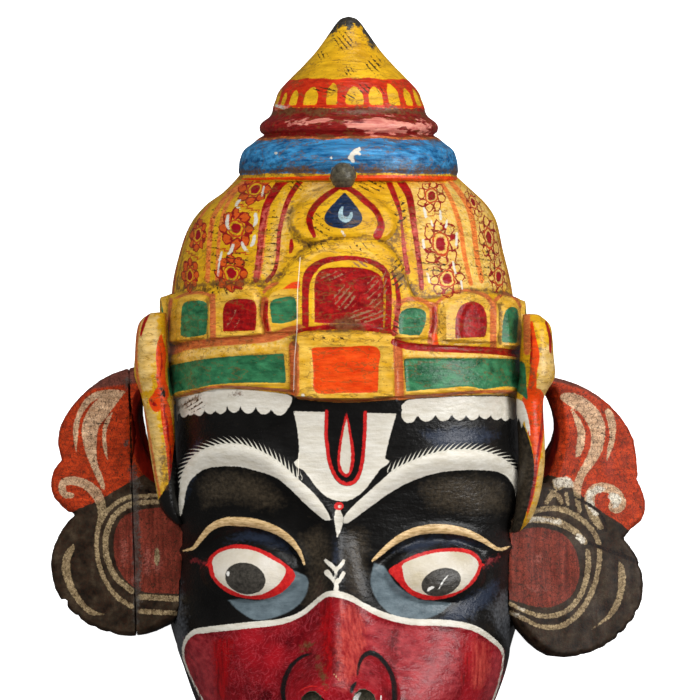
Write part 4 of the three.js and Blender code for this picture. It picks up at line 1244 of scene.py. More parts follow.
# Bands round the finial: top and bottom. Arches in them: middle, width, and top
FINIAL_BANDS = {
    "vermilion": (76, 106),
    # The ring below the arches is a darker crimson, as painted shade
    "wine": (106, 135.4),
    "brick": (134.6, 139),
    "blue": (137.6, 172.6),
}
FINIAL_ARCHES = (
    (-79, 7, 92), (-62, 10, 90), (-40, 15, 87), (-17, 10, 84), (6, 17, 87), (28, 14, 87),
    (49, 13, 84), (70, 11, 88), (90, 12, 88), (109, 12, 87), (-98, 12, 88), (-116, 12, 88),
)
# Marks on the finial: scraped and chipped white paint, on the head's pattern
FINIAL_MARKS = {
    "chalk": [patch([(344, 119), (380, 117), (420, 119), (433, 124)],
                    [(428, 131), (400, 130), (376, 132), (350, 127)]),
              stroke((290, 121, 1.4), (330, 119.6, 1.6)), stroke((279, 103, 2), (285, 105, 2))],
    "white": [stroke((349, 157, 1.4), (354, 152, 2.4), (359, 148.6, 2.2)),
              stroke((352, 153, 1.6), (353, 161, 1.6)), stroke((356, 151, 2), (360, 153.6, 1.2)),
              oval(331, 157, 1.8, 1.5), oval(276, 152, 1.8, 1.5),
              stroke((276, 102.6, 1.4), (284, 105, 1.8))],
}
# Rings of soiling and painted shade round it where its bands meet: top and bottom on its pattern,
# inset, and rise and length of their waves
FINIAL_GRIME_AND_SHADE = ((166, 175, 0.6, 1.4, 7), (133.4, 140, 0.4, 1, 5), (105.6, 114, 0.6, 1.4, 6))


def wind(points):
    """The finial's own pattern: u round it from the middle of the front, v down it."""
    x, y, z = points.T
    around = np.arctan2(x - FINIAL_X, np.maximum(z - FINIAL_Z, BEHIND_FINIAL))
    return FINIAL_ROUND * around, PATTERN_MIDDLE - (y - THROWN_FROM[1]) * FINIAL_NEAR / UNIT


def finial_paint(points):
    """Bands and arches of the finial. Returns a value for each coat."""
    turn, v = wind(points)
    u = thrown(*points.T)[0]
    wave = 0.9 * np.sin(turn / 11) + 0.7 * np.sin(turn / 4.7 + 2)
    values = {}
    for name, (top, bottom) in FINIAL_BANDS.items():
        depth = np.minimum(v - top + wave * 0.6, bottom - v - wave * 0.5)
        values[name] = np.clip(depth, -REACH, REACH)
    # Painted shade on the lower side of the blue roll
    values["shaded"] = np.clip(np.minimum((v - 157) * 0.7, (173 - v) * 3), -REACH, REACH)
    window = cover_all([arch(middle - wide / 2 - 0.6, middle + wide / 2 + 0.6, top - 2.6, 104, 0.5)
                        for middle, wide, top in FINIAL_ARCHES], turn, v)
    band = np.minimum(values["vermilion"], -window)
    # Orange: rims of the arches, a line under them, and the lowest edge of the finial
    rims = np.minimum(np.minimum(band, window + 3), np.minimum(v - 82, 106 - v))
    under = np.minimum(np.minimum(v - 101.6, 105 - v), band + 1)
    lowest = -np.abs(v - 177.5) + 3.2 + np.clip((u - 350) / 40, -1.8, 0)
    values["vermilion"] = band
    values["orange"] = np.maximum(np.maximum(rims, under), lowest)
    for name, shapes in FINIAL_MARKS.items():
        values[name] = cover_all(shapes, u, v)
    values["tip"] = np.maximum.reduce([23 - v + 2 * np.sin(turn / 9 + 1),
                                       np.minimum((44 - v) / 2, (turn - 66) / 5),
                                       np.minimum((32 - v) / 2, (-turn - 50) / 5)])
    # Dark rings of soiling and painted shade where the bands meet
    values["grime"] = np.maximum.reduce(
        [np.minimum(v - top, bottom - v) - inset + rise * np.sin(turn / size)
         for top, bottom, inset, rise, size in FINIAL_GRIME_AND_SHADE])
    return values


# ---------------------------------------------------------------------------
# Ear ornaments: paint on the pattern

# Chips in the boards' edges: place, depth in millimetres, and half width on the pattern
CHIPS = (
    (64, 604, 6.4, 2.6), (71, 516, 1.6, 2.6), (641, 589, 1.4, 2), (638, 613, 1.6, 2.4),
    (627, 624, 1.2, 3), (622, 528, 1.4, 3), (633, 494, 0.8, 3), (606, 642, 1, 3),
    (640, 566, 1.8, 2.2), (95, 628, 0.8, 3), (56, 540, 0.8, 3), (639, 478, 1.8, 2),
    (637, 492, 2.2, 2.4), (633, 604, 1.6, 2), (618, 634, 1.4, 2.4), (596, 646, 1.2, 2.6),
    (580, 652, 1.2, 2.4), (60, 560, 1, 2.4), (78, 617, 1.2, 2.2), (110, 634, 1, 3),
    (60, 480, 0.9, 2.4),
)
# Front of the boards: height where they bend, how far out that is, and their thickness
BOARD_FRONT = 50
BOARD_BEND = 134
BOARD_THICK = 22
# The walls of the slots beside the ears lean: middle of the wall on the pattern, and down it the
# places on the pattern with the lean in millimetres at each
SLOT_WALLS = (
    (
        stroke((139, 388, 0), (133, 402, 0), (130.6, 424, 0), (134, 450, 0), (144, 472, 0),
               (150, 480, 0)),
        (388, 406, 424, 450, 472), (4, 7, 9.5, 12.5, 15),
    ),
    (
        stroke((548, 392, 0), (556, 406, 0), (560, 424, 0), (559.6, 444, 0), (554, 462, 0),
               (549, 474, 0), (542, 486, 0)),
        (392, 424, 440, 456, 480), (-2.6, -3.6, -7, -11, -13),
    ),
)

# The broad end of a stroke, painted in cream and again in the paler, flaking coat
BIG_FLAKE = patch([(552, 480.6), (561, 477), (573, 482), (573.6, 488), (566, 487), (558, 490.6),
                   (553.4, 487)])
BOARD_PAINT = {
    "red": [
        patch([(20, 330), (200, 330)], [(200, 430), (170, 458)],
              [(143.3, 474.6), (129.9, 482), (116.5, 489.7), (97.4, 501), (80, 508), (70, 514)],
              [(64, 524), (20, 530)]),
        patch([(490, 330), (690, 330)], [(690, 566), (640, 536)],
              [(627.4, 529.6), (619.8, 522.8), (604.5, 513.6), (589, 502), (570, 485), (556, 477),
               (545, 474.6)], [(490, 470)]),
    ],
    # Brownish red along the boards' top edges, as painted shade on the edges
    "mauve_painted_shade": [
        patch([(150, 350), (92, 352), (50, 420)],
              [(63, 416), (76, 402), (88, 391), (107, 387), (126, 384.6), (150, 381)]),
        stroke((545, 377, 2.4), (568, 382.6, 2), (587, 390, 1.4), (600, 399.6, 1)),
    ],
    # Dark red on the slot walls beside the ears, as painted shade on the red
    "maroon_painted_shade": [
        patch([(133, 398), (137, 390), (148, 386)], [(160, 440), (166, 490)],
              [(150, 480), (141, 471), (134, 452), (131.4, 424)]),
        patch([(534, 396), (546, 401), (554, 412), (558.6, 428), (558, 446), (553, 462),
               (549.6, 473)], [(536, 484), (530, 440)]),
    ],
    "centre": [
        patch([(190, 506), (155, 508), (136, 511), (124, 516.4), (116.6, 527), (113.7, 542),
               (115.4, 560.4), (122.3, 575.7), (131.8, 585.6), (147, 592.4), (190, 594)]),
        patch([(505, 534), (530, 528), (548, 528.8), (564, 535), (574, 547), (578.8, 562.8),
               (578.6, 580), (570, 597), (553, 606.6), (535, 606.4), (505, 598)]),
    ],
    "cream": [
        patch([(126.4, 391), (116.5, 403.4), (107, 416.5), (98.6, 428), (96.4, 447), (97.6, 464),
               (103, 477.7), (105.6, 491.6)],
              [(101, 487.4), (93.6, 472), (85.6, 452), (81.7, 433), (85, 416.5), (93, 404),
               (102, 396)]),
        patch([(126.4, 391), (115, 389.6), (105, 390), (96, 392), (85, 399.6), (77, 413.6),
               (73.2, 428), (73.8, 440), (76.4, 453)],
              [(77.8, 436), (80, 420), (87, 407), (96, 399.4), (104, 396.4)]),
        patch([(112.6, 411.6), (104.6, 422.3), (102.2, 436), (104, 451), (108, 462)],
              [(106.8, 447), (106.2, 432), (110.2, 420.3)]),
        stroke((71.6, 495.4, 2.6), (65.6, 494.6, 3.4), (62, 489, 3.6), (63.8, 482.6, 3.8),
               (72, 480.6, 4.2), (82, 482.8, 4.6), (91.4, 488.6, 5), (98.4, 497, 5.2),
               (101.8, 509, 4.2), (101, 519, 3.2), (97.6, 528, 2)),
        stroke((131.8, 496.4, 2.2), (122.3, 499.6, 2.2), (110.8, 507.4, 2.2), (101.2, 520.3, 2.2),
               (97.4, 533, 2.2), (96.6, 548, 2.1), (99.4, 566, 2.2), (106, 582, 2.2),
               (117, 596.8, 2.3), (131.8, 606.4, 2.3)),
        stroke((135.7, 496.4, 1.8), (160, 495, 2)),
        stroke((139.5, 611.2, 2.4), (180, 613.6, 2.4)),
        stroke((131.8, 504, 2.7), (122.3, 508.8, 2.8), (112.7, 518.3, 2.8), (106.4, 533.7, 2.8),
               (105.6, 547, 2.8), (108, 561, 2.9), (116.5, 578, 2.9), (131.8, 591, 2.9)),
        stroke((136.6, 503, 2.2), (160, 501.6, 2.4)),
        stroke((139.5, 596.8, 2.8), (180, 599, 2.8)),
        patch([(74, 543.4), (65.4, 552.3), (61.6, 567.6), (64.9, 581.6), (72.5, 596.3),
               (82, 607.8), (91.6, 615), (107, 614.4)],
              [(95.5, 611.6), (85, 603.4), (76.6, 590.6), (71.6, 577.2), (70.2, 561),
               (74.6, 549)]),
        oval(157, 557, 2.6, 9),
        patch([(559.2, 396.4), (566, 392.6), (577.7, 394.4), (589, 401), (598.7, 410.7),
               (604.4, 423), (604.9, 436.5), (601.6, 451.8), (594.9, 463.3), (586, 475),
               (582, 485), (581, 496), (581.4, 511)],
              [(576, 505.4), (573.5, 492), (574.3, 482.4), (578.7, 472), (585.3, 459.5),
               (590.8, 446), (591, 434.6), (587, 423), (578.7, 411.7), (570, 406), (562, 401)]),
        patch([(570, 407), (579, 417.4), (584.4, 428.9), (585, 440.3), (581.5, 453.7),
               (575.6, 457.8)], [(576.2, 446), (577.7, 432.7), (573.9, 419.3)]),
        patch([(604.4, 411), (608.6, 408.4), (613.9, 415.5), (616, 427), (614.4, 442.3),
               (610.2, 453.7), (606.4, 461.6)], [(607.4, 449), (609.8, 436), (607.6, 421)]),
        stroke((600.7, 527, 3), (592.6, 514, 4.4), (589.4, 499, 5), (594.6, 489.6, 5),
               (606, 487.6, 4.6), (617, 494, 4.8), (621, 503.5, 5), (617, 509.6, 3.6),
               (611, 507.3, 2.8), (613, 501, 2.4)),
        BIG_FLAKE, stroke((546.4, 502.6, 2.2), (550, 497, 2.8), (553.6, 492.4, 1.8)),
        stroke((549, 489.6, 1), (554, 492.6, 1.6), (559, 497, 2.4), (561.6, 503, 2)),
        stroke((566, 493, 1.6), (567.4, 500, 1.8), (568, 506, 1)),
        stroke((577.6, 501, 1.6), (579.4, 511, 2)),
        stroke((529.9, 515, 2), (537.5, 510.6, 2.4), (551, 508.3, 2.5), (564.3, 510.2, 2.5),
               (577.7, 516.9, 2.5), (589.2, 526.4, 2.5), (596.8, 538, 2.4), (599.7, 551.3, 2.4),
               (598.7, 566.6, 2.4), (594.9, 583.8, 2.6), (586.3, 603, 2.8), (575.8, 616.3, 2.8),
               (564.3, 624.6, 2.6), (552.8, 627.4, 2.4), (539.4, 626, 2), (526, 620, 2),
               (511, 612.6, 2.2)),
        stroke((524, 522.6, 1.6), (532, 519.7, 3), (549, 520, 3.6), (564.3, 525, 3.4),
               (576, 532.4, 3), (585.3, 542.4, 2.4)),
        stroke((587.6, 551, 2.2), (588.4, 560, 2.6), (587.3, 573, 2.7), (581.5, 593.4, 2.6),
               (570, 608.4, 2.6), (556.6, 615, 2.5), (541.3, 616, 2.2), (524, 610.6, 1.8),
               (510, 603.6, 2)),
        patch([(618.6, 560.6), (623.8, 567), (625.8, 580), (622.4, 598), (616, 611.6),
               (604.5, 622), (591, 629.8)],
              [(606.4, 616.3), (614, 603), (617.9, 589.6), (618.2, 573)]),
    ],
    "filler": [
        patch([(129.8, 468), (136, 467), (139.4, 520), (140.6, 580), (138.6, 624)],
              [(134.6, 624), (133.6, 580), (132.4, 520)]),
        stroke((127, 379, 2.4), (127.6, 388, 1.6)), oval(126, 443, 2.8, 3.2),
        oval(139.4, 484.6, 2.2, 2.2),
    ],
    "flake": [
        BIG_FLAKE,
        stroke((596, 514, 2), (591, 503, 3.6), (591, 496, 4), (595.6, 490, 3.8), (602, 488.4, 3)),
        stroke((612, 496, 3.4), (617.6, 502, 4), (613.6, 507.4, 2.6)),
        stroke((524, 522.6, 1), (534, 519.7, 2), (549, 520, 2.4), (561, 524, 2.2)),
        stroke((579, 536, 1.6), (585, 542.4, 2)),
        stroke((511, 612, 1.4), (522, 617, 1.8), (530, 620.6, 1)),
        stroke((512, 604.8, 1), (524, 610.2, 1.4)),
    ],
    "mottle": [
        oval(538.5, 558.6, 4.6, 7), stroke((526, 586, 2), (536, 590, 3.4), (548, 588, 2)),
        oval(124, 552, 4, 14), oval(147, 562, 5, 16), oval(134, 580, 5, 5), oval(157, 560, 5, 14),
    ],
    "split": [
        stroke((128.9, 384, 1), (130.6, 425, 1.1), (131, 468, 1)),
        stroke((600, 513, 1), (604, 521, 1.6), (606, 531, 1.4)),
        stroke((589, 543, 1.6), (600, 547, 2), (612, 551.8, 2), (629.3, 558.4, 2.4),
               (641, 564, 2.4)),
        stroke((574, 497, 1.2), (588, 504, 1.6), (600, 512, 1.6)),
        stroke((596, 430, 0.6), (612, 438, 0.8)), stroke((84, 422, 0.5), (110, 424, 0.6)),
    ],
}


# ---------------------------------------------------------------------------
# Materials

# A Mix node of colours takes them at these inputs and gives them at this output
UNDER, OVER, MIXED = 6, 7, 2
# How far an unevenness has to go for the whole way from one shade to the other
SPREAD = 0.22
PETALS = 8


def add(tree, kind, inputs, out=0, **settings):
    """Adds a shader node, sets its properties, and fills its inputs with values or links.
    Returns one of its outputs."""
    node = tree.nodes.new("ShaderNode" + kind)
    for key, value in settings.items():
        setattr(node, key, value)
    for key, value in inputs.items():
        if isinstance(value, bpy.types.NodeSocket):
            tree.links.new(value, node.inputs[key])
        else:
            node.inputs[key].default_value = value
    return node.outputs[out]


def new_material(name):
    """A new material with its node tree and its shader."""
    material = bpy.data.materials.new(name)
    material.use_nodes = True
    return material, material.node_tree, material.node_tree.nodes["Principled BSDF"]


def uneven(tree, place, size, stretch=(1, 1, 1), detail=3, seed=0):
    """Soft random unevenness around zero. The size of its patches is in millimetres."""
    shift = (seed, seed * 0.37, seed * 0.61)
    place = add(tree, "Mapping", {"Vector": place, "Location": shift, "Scale": stretch})
    noise = add(tree, "TexNoise", {"Vector": place, "Scale": 1 / (size * MM), "Detail": detail,
                                   "Roughness": 0.6})
    return add(tree, "Math", {0: noise, 1: 0.5}, operation="SUBTRACT")


def lay(tree, below, above, amount, start, end, share=1):
    """Lays a colour over the one below. It comes in while an amount runs from start to end."""
    mask = add(tree, "MapRange", {0: amount, 1: start, 2: end, 4: share})
    return add(tree, "Mix", {0: mask, UNDER: below, OVER: above}, MIXED, data_type="RGBA")


def shades(tree, amount, dark, light, spread=SPREAD):
    """A colour that drifts between two shades, hex codes or linear values, with an unevenness."""
    dark, light = (linear(tone) if isinstance(tone, str) else tone for tone in (dark, light))
    return lay(tree, dark, light, amount, -spread, spread)


def deeper(colour, red, green, blue):
    """A darker tone of a colour, by a share for each channel."""
    return [colour[0] * red, colour[1] * green, colour[2] * blue, 1.0]


def coat(tree, below, name, colour, wobble, inset=0, soft=0.35, share=1):
    """Lays a coat of paint over the colours below, inside the outline kept under the name."""
    depth = add(tree, "Attribute", {}, "Fac", attribute_name=name)
    moved = add(tree, "Math", {0: depth, 1: wobble}, operation="ADD")
    return lay(tree, below, colour, moved, inset - soft, inset + soft, share)


def coats(tree, colour, *rows):
    """Lays coats of paint one over the other. A row has the coat's name, the unevenness that it
    drifts with, its two shades, the unevenness of its edge, the spread of the drift, and how far
    in, how soft, and how thick it lies. A coat of one shade has no drift."""
    for name, drift, dark, light, wobble, *more in rows:
        spread, *lies = more or [SPREAD]
        tone = linear(dark) if drift is None else shades(tree, drift, dark, light, spread)
        colour = coat(tree, colour, name, tone, wobble, *lies)
    return colour


def finish(tree, shader, colour, shine, gloss, height, strength):
    """Gives a shader its colour, its shine, a gloss that drifts, and the relief of the paint."""
    drift, glossy, dull = gloss
    rough = add(tree, "MapRange", {0: drift, 1: -0.3, 2: 0.3, 3: glossy, 4: dull})
    bump = add(tree, "Bump", {"Strength": strength, "Distance": 0.5 * MM, "Height": height})
    shader.inputs["Specular IOR Level"].default_value = shine
    for name, link in (("Base Color", colour), ("Roughness", rough), ("Normal", bump)):
        tree.links.new(link, shader.inputs[name])


def enamel_material(paint):
    """Brushed oil enamel on carved wood, worn on the ridges, darker deep in the creases, grimy in
    places, and with painted light and shade.
    """
    material, tree, shader = new_material("brushed_oil_enamel_on_carved_wood")
    place = add(tree, "TexCoord", {}, "Object")
    wide = uneven(tree, place, 26, detail=4)
    middle = uneven(tree, place, 9, (1, 1.8, 1), seed=3.1)
    fine = uneven(tree, place, 2.2, seed=7.7)
    streak = uneven(tree, place, 6, (0.4, 2.2, 1), 4, 5.3)
    across = uneven(tree, place, 3, (0.35, 2.6, 1), seed=9.1)
    long = uneven(tree, place, 5, (0.12, 1.8, 1), 4, 12.3)
    upright = uneven(tree, place, 5, (2.2, 0.25, 1), 4, 17.9)
    both = add(tree, "Math", {0: middle, 1: fine}, operation="ADD")
    edge, broken, scraped = (add(tree, "Math", {0: drift, 1: much}, operation="MULTIPLY")
                             for drift, much in ((fine, 1.6), (both, 15), (streak, 30)))

    # Crown: an ochre ground with paler and browner drifts, and the painted shapes over it
    colour = shades(tree, wide, deeper(paint.yellow, 0.7, 0.6, 0.3), paint.yellow)
    colour = coats(
        tree, colour,
        ("pale", middle, "#D8A01A", "#EEC052", edge),
        ("cream", middle, "#CEA244", "#EECC84", broken, SPREAD, 0, 1.6),
        ("wash", fine, "#E6B440", "#F8DC9A", broken, SPREAD, 2.5, 5, 0.65),
        # Darker brown deep in the creases
        ("dirt", fine, "#2E2012", "#6A4420", broken, SPREAD, 7.5, 3, 0.8),
        ("brick", across, "#B4482A", "#E88A46", edge, SPREAD, 0, 0.6),
        ("orange", middle, "#DC3608", "#F45612", edge),
        ("stripe", across, "#DA5A26", "#F8A04A", edge),
        ("vermilion", across, "#AC1C0C", "#E23E1A", edge),
        ("blue", long, deeper(paint.blue, 0.05, 0.2, 0.3), paint.blue, edge, 0.16),
        # Painted shade under the finial's blue roll
        ("shaded", None, "#0C2030", None, broken, SPREAD, 5, 5, 0.75),
        # A darker copy of the crimson on the finial's ring, as painted shade
        ("wine", across, "#5E0C0C", "#9E2420", edge),
        ("crimson", both, deeper(paint.crimson, 0.4, 0.2, 0.6), paint.crimson, edge),
        ("rose", across, "#B83A34", "#E07E6C", broken, SPREAD, 0.8, 2.4, 0.75),
        ("green", middle, deeper(paint.green, 0.2, 0.3, 0.3), paint.green, edge),
        ("navy", across, "#070E1C", "#1A345C", edge),
        ("ice", fine, "#6E929E", "#B4D0D8", edge))
    colour = flowers(tree, colour, edge, middle)
    brushed = shades(tree, streak, "#8E8478", "#FFFFFF", 0.26)
    colour = add(tree, "Mix", {0: 0.6, UNDER: colour, OVER: brushed}, MIXED, data_type="RGBA",
                 blend_type="MULTIPLY")
    colour = crazing(tree, colour, place, 22, "#6A4A20", 0.55, (0.5, 1.5, 1), 2.2)
    colour = specks(tree, colour, place, 2.4, 0.17, "#6A4A20", 0.8, (0.8, 1.3, 1), 6.1)
    colour = specks(tree, colour, place, 1.3, 0.19, "#3A2612", 0.9, (0.8, 1.3, 1), 9.6)

    # Face: a black ground, dusty in places, with painted light on the right ear's inner side and
    # painted reflections
    colour = coats(
        tree, colour,
        ("black", wide, deeper(paint.black, 0.4, 0.4, 0.4), paint.black, edge),
        ("dust", fine, "#2A241C", "#4A4032", broken, SPREAD, 2, 8, 0.75),
        # Painted reflection along the cheeks' edges
        ("haze", fine, "#2C2D30", "#5C5E62", broken, SPREAD, 2.5, 5, 0.75),
        # Painted reflection, bluish, on the black
        ("sheen", None, "#242C3C", None, broken, SPREAD, 1.5, 4, 0.8),
        ("grey", middle, "#48545A", "#66747A", edge, SPREAD, 0, 0.8))

    # Muzzle: thick crimson enamel, wrinkled where it dried, with paler lines along the wrinkles as
    # painted highlights
    wrinkle_highlight = add(tree, "TexNoise", {"Vector": place, "Scale": 1 / (13 * MM), "Detail": 4,
                                     "Distortion": 3})
    wrinkle_highlight = add(tree, "Math", {0: wrinkle_highlight, 1: 0.5}, operation="SUBTRACT")
    wrinkle_highlight = add(tree, "Math", {0: wrinkle_highlight}, operation="ABSOLUTE")
    muzzle = shades(tree, wide, "#4A0208", "#92101A", 0.16)
    muzzle = lay(tree, muzzle, linear("#BC4650"), wrinkle_highlight, 0.03, 0, 0.4)
    colour = coat(tree, colour, "muzzle", muzzle, edge)
    colour = coats(
        tree, colour,
        # Pink wear with painted highlights on the cheeks
        ("blush", middle, "#741620", "#A8383C", broken, 0.16, 1, 4, 0.75),
        # Paler red streaks, and painted light on the nose's right side
        ("ember", upright, "#841418", "#BC4A3E", broken, 0.14, 1, 3.4, 0.8),
        # Dark red streaks, and painted shade on the nose's left side
        ("rouge", upright, "#5E0206", "#A0080E", broken, 0.14, 1, 2.8, 0.9),
        ("lips", middle, "#4E040A", "#620A12", edge, SPREAD, 0, 2),
        ("gap", None, "#0A0606", None, edge),
        ("arcs", fine, "#030506", "#101C1C", edge, SPREAD, 0, 0.6),
        ("tan", across, "#A08050", "#E0C090", edge, 0.16),
        ("white", streak, deeper(paint.white, 0.66, 0.62, 0.54), paint.white, edge, 0.3))
    colour = fine_marks(tree, colour, "hair", "#C0BCAE", 2.7)
    colour = coats(
        tree, colour,
        ("well", wide, "#0B0A0A", "#131211", edge),
        ("scarlet", fine, "#A01016", "#CC2A26", edge),
        ("shell", wide, "#B4A88E", "#D2CCC2", edge),
        ("pupil", fine, "#22201D", "#46423C", edge),
        ("putty", fine, "#2E2B24", "#5E5848", edge),
        # White glints on the pupils, and a painted highlight in the right nostril
        ("glint", None, "#D8D6D0", None, edge),
        ("chalk", long, "#A84440", "#E4A08C", scraped, SPREAD, 0.8, 1.2),
        # Soiling, with painted shade at joints and along edges
        ("grime", fine, "#35220F", "#6A4A2C", broken, SPREAD, 1.4, 2.2, 0.8),
        ("tip", fine, "#23211E", "#3E3A34", broken, SPREAD, 0.5, 1.5))

    # Wear over every coat: scratches, scuffs, specks of dirt and of lost paint, and one crack
    colour = fine_marks(tree, colour, "scratch", "#3A2812", 2.5, fine)
    colour = fine_marks(tree, colour, "scuff", "#8A6248", 2.5, fine)
    colour = specks(tree, colour, place, 1.1, 0.235, "#3A2A1C", 0.7, (1, 1, 1), 11.3)
    colour = specks(tree, colour, place, 0.9, 0.26, "#8E867A", 0.5, (1, 1, 1), 13.9)
    colour = fine_marks(tree, colour, "hairline", "#EAE0D0", 50)

    # The gloss is uneven: brushed on, rubbed by hand, dulled by dust
    ripples = uneven(tree, place, 7, (0.6, 1.5, 1), 2.5, 15.7)
    height = add(tree, "Math", {0: streak, 1: 0.5, 2: fine}, operation="MULTIPLY_ADD")
    height = add(tree, "Math", {0: ripples, 1: 2.4, 2: height}, operation="MULTIPLY_ADD")
    finish(tree, shader, colour, 0.3, (middle, 0.24, 0.46), height, 0.6)
    return material


def flowers(tree, below, edge, drift):
    """Painted flowers: a crimson eye, a ring, and eight petals, filled or drawn as loops. The two
    unevennesses put their edges and their places a little off."""
    place = add(tree, "Attribute", {}, "Vector", attribute_name="flower")
    part = add(tree, "SeparateXYZ", {0: place}).node.outputs
    flat = add(tree, "VectorMath", {0: place, 1: (1, 1, 0)}, operation="MULTIPLY")
    away = add(tree, "VectorMath", {0: flat}, "Value", operation="LENGTH")
    away = add(tree, "Math", {0: edge, 1: 0.05, 2: away}, operation="MULTIPLY_ADD")
    away = add(tree, "Math", {0: drift, 1: 0.3, 2: away}, operation="MULTIPLY_ADD")
    turn = add(tree, "Math", {0: part[1], 1: part[0]}, operation="ARCTAN2")
    turn = add(tree, "Math", {0: drift, 1: 0.9, 2: turn}, operation="MULTIPLY_ADD")
    aside = add(tree, "Math", {0: turn, 1: np.pi / PETALS}, operation="PINGPONG")
    aside = add(tree, "Math", {0: aside, 1: away}, operation="MULTIPLY")
    along = add(tree, "Math", {0: away, 1: 3.7, 2: -2.75}, operation="MULTIPLY_ADD")
    along = add(tree, "Math", {0: along, 1: along}, operation="MULTIPLY")
    petal = add(tree, "Math", {0: along, 1: -0.27, 2: 0.27}, operation="MULTIPLY_ADD")
    petal = add(tree, "Math", {0: petal, 1: aside}, operation="SUBTRACT")
    inside = add(tree, "MapRange", {0: petal, 1: 0, 2: 0.06})
    filled = add(tree, "Math", {0: inside, 1: part[2]}, operation="MULTIPLY")
    rim = add(tree, "Math", {0: petal}, operation="ABSOLUTE")
    rim = add(tree, "MapRange", {0: rim, 1: 0.085, 2: 0.045})
    outside = add(tree, "MapRange", {0: away, 1: 0.44, 2: 0.5})
    drawn = add(tree, "Math", {0: rim, 1: outside}, operation="MULTIPLY")
    colour = below
    for mask, tone in ((filled, "#D85A1C"), (drawn, "#94181A")):
        colour = add(tree, "Mix", {0: mask, UNDER: colour, OVER: linear(tone)}, MIXED,
                     data_type="RGBA")
    ring = add(tree, "Math", {0: away, 1: 0.43}, operation="SUBTRACT")
    ring = add(tree, "Math", {0: ring}, operation="ABSOLUTE")
    colour = lay(tree, colour, linear("#C2421E"), ring, 0.06, 0.03)
    return lay(tree, colour, linear("#9A0C1C"), away, 0.3, 0.25)


def fine_marks(tree, below, name, colour, half_spacing, rough=None):
    """A row of fine marks, such as hairs or scratches, kept as the distance along the row and a
    half width."""
    along, width = (add(tree, "Attribute", {}, "Fac", attribute_name=name + end)
                    for end in ("_along", "_width"))
    if rough:
        along = add(tree, "Math", {0: rough, 1: 5, 2: along}, operation="MULTIPLY_ADD")
        width = add(tree, "Math", {0: rough, 1: 4.6, 2: width}, operation="MULTIPLY_ADD")
    between = add(tree, "Math", {0: along, 1: half_spacing}, operation="PINGPONG")
    depth = add(tree, "Math", {0: width, 1: between}, operation="SUBTRACT")
    return lay(tree, below, linear(colour), depth, -0.3, 0.4)


def specks(tree, below, place, size, level, colour, share, stretch, seed):
    """Small broken specks where a fine unevenness rises above a level."""
    amount = uneven(tree, place, size, stretch, 2, seed)
    return lay(tree, below, linear(colour), amount, level, level + 0.05, share)


def crazing(tree, below, place, size, colour, share, stretch, seed):
    """Thin cracks: the lines where a slow unevenness passes through zero."""
    amount = uneven(tree, place, size, stretch, 5, seed)
    amount = add(tree, "Math", {0: amount}, operation="ABSOLUTE")
    return lay(tree, below, linear(colour), amount, 0.014, 0.004, share)


def bare_material():
    """Unpainted wood of the hollow: gouged, darkened by age, with long grain."""
    material, tree, shader = new_material("bare_gouged_wood")
    grain = uneven(tree, add(tree, "TexCoord", {}, "Object"), 5, (1, 0.08, 1), 6)
    bump = add(tree, "Bump", {"Strength": 0.5, "Distance": 0.6 * MM, "Height": grain})
    tree.links.new(shades(tree, grain, "#5A3C22", "#8A6238"), shader.inputs["Base Color"])
    tree.links.new(bump, shader.inputs["Normal"])
    shader.inputs["Roughness"].default_value = 0.75
    return material


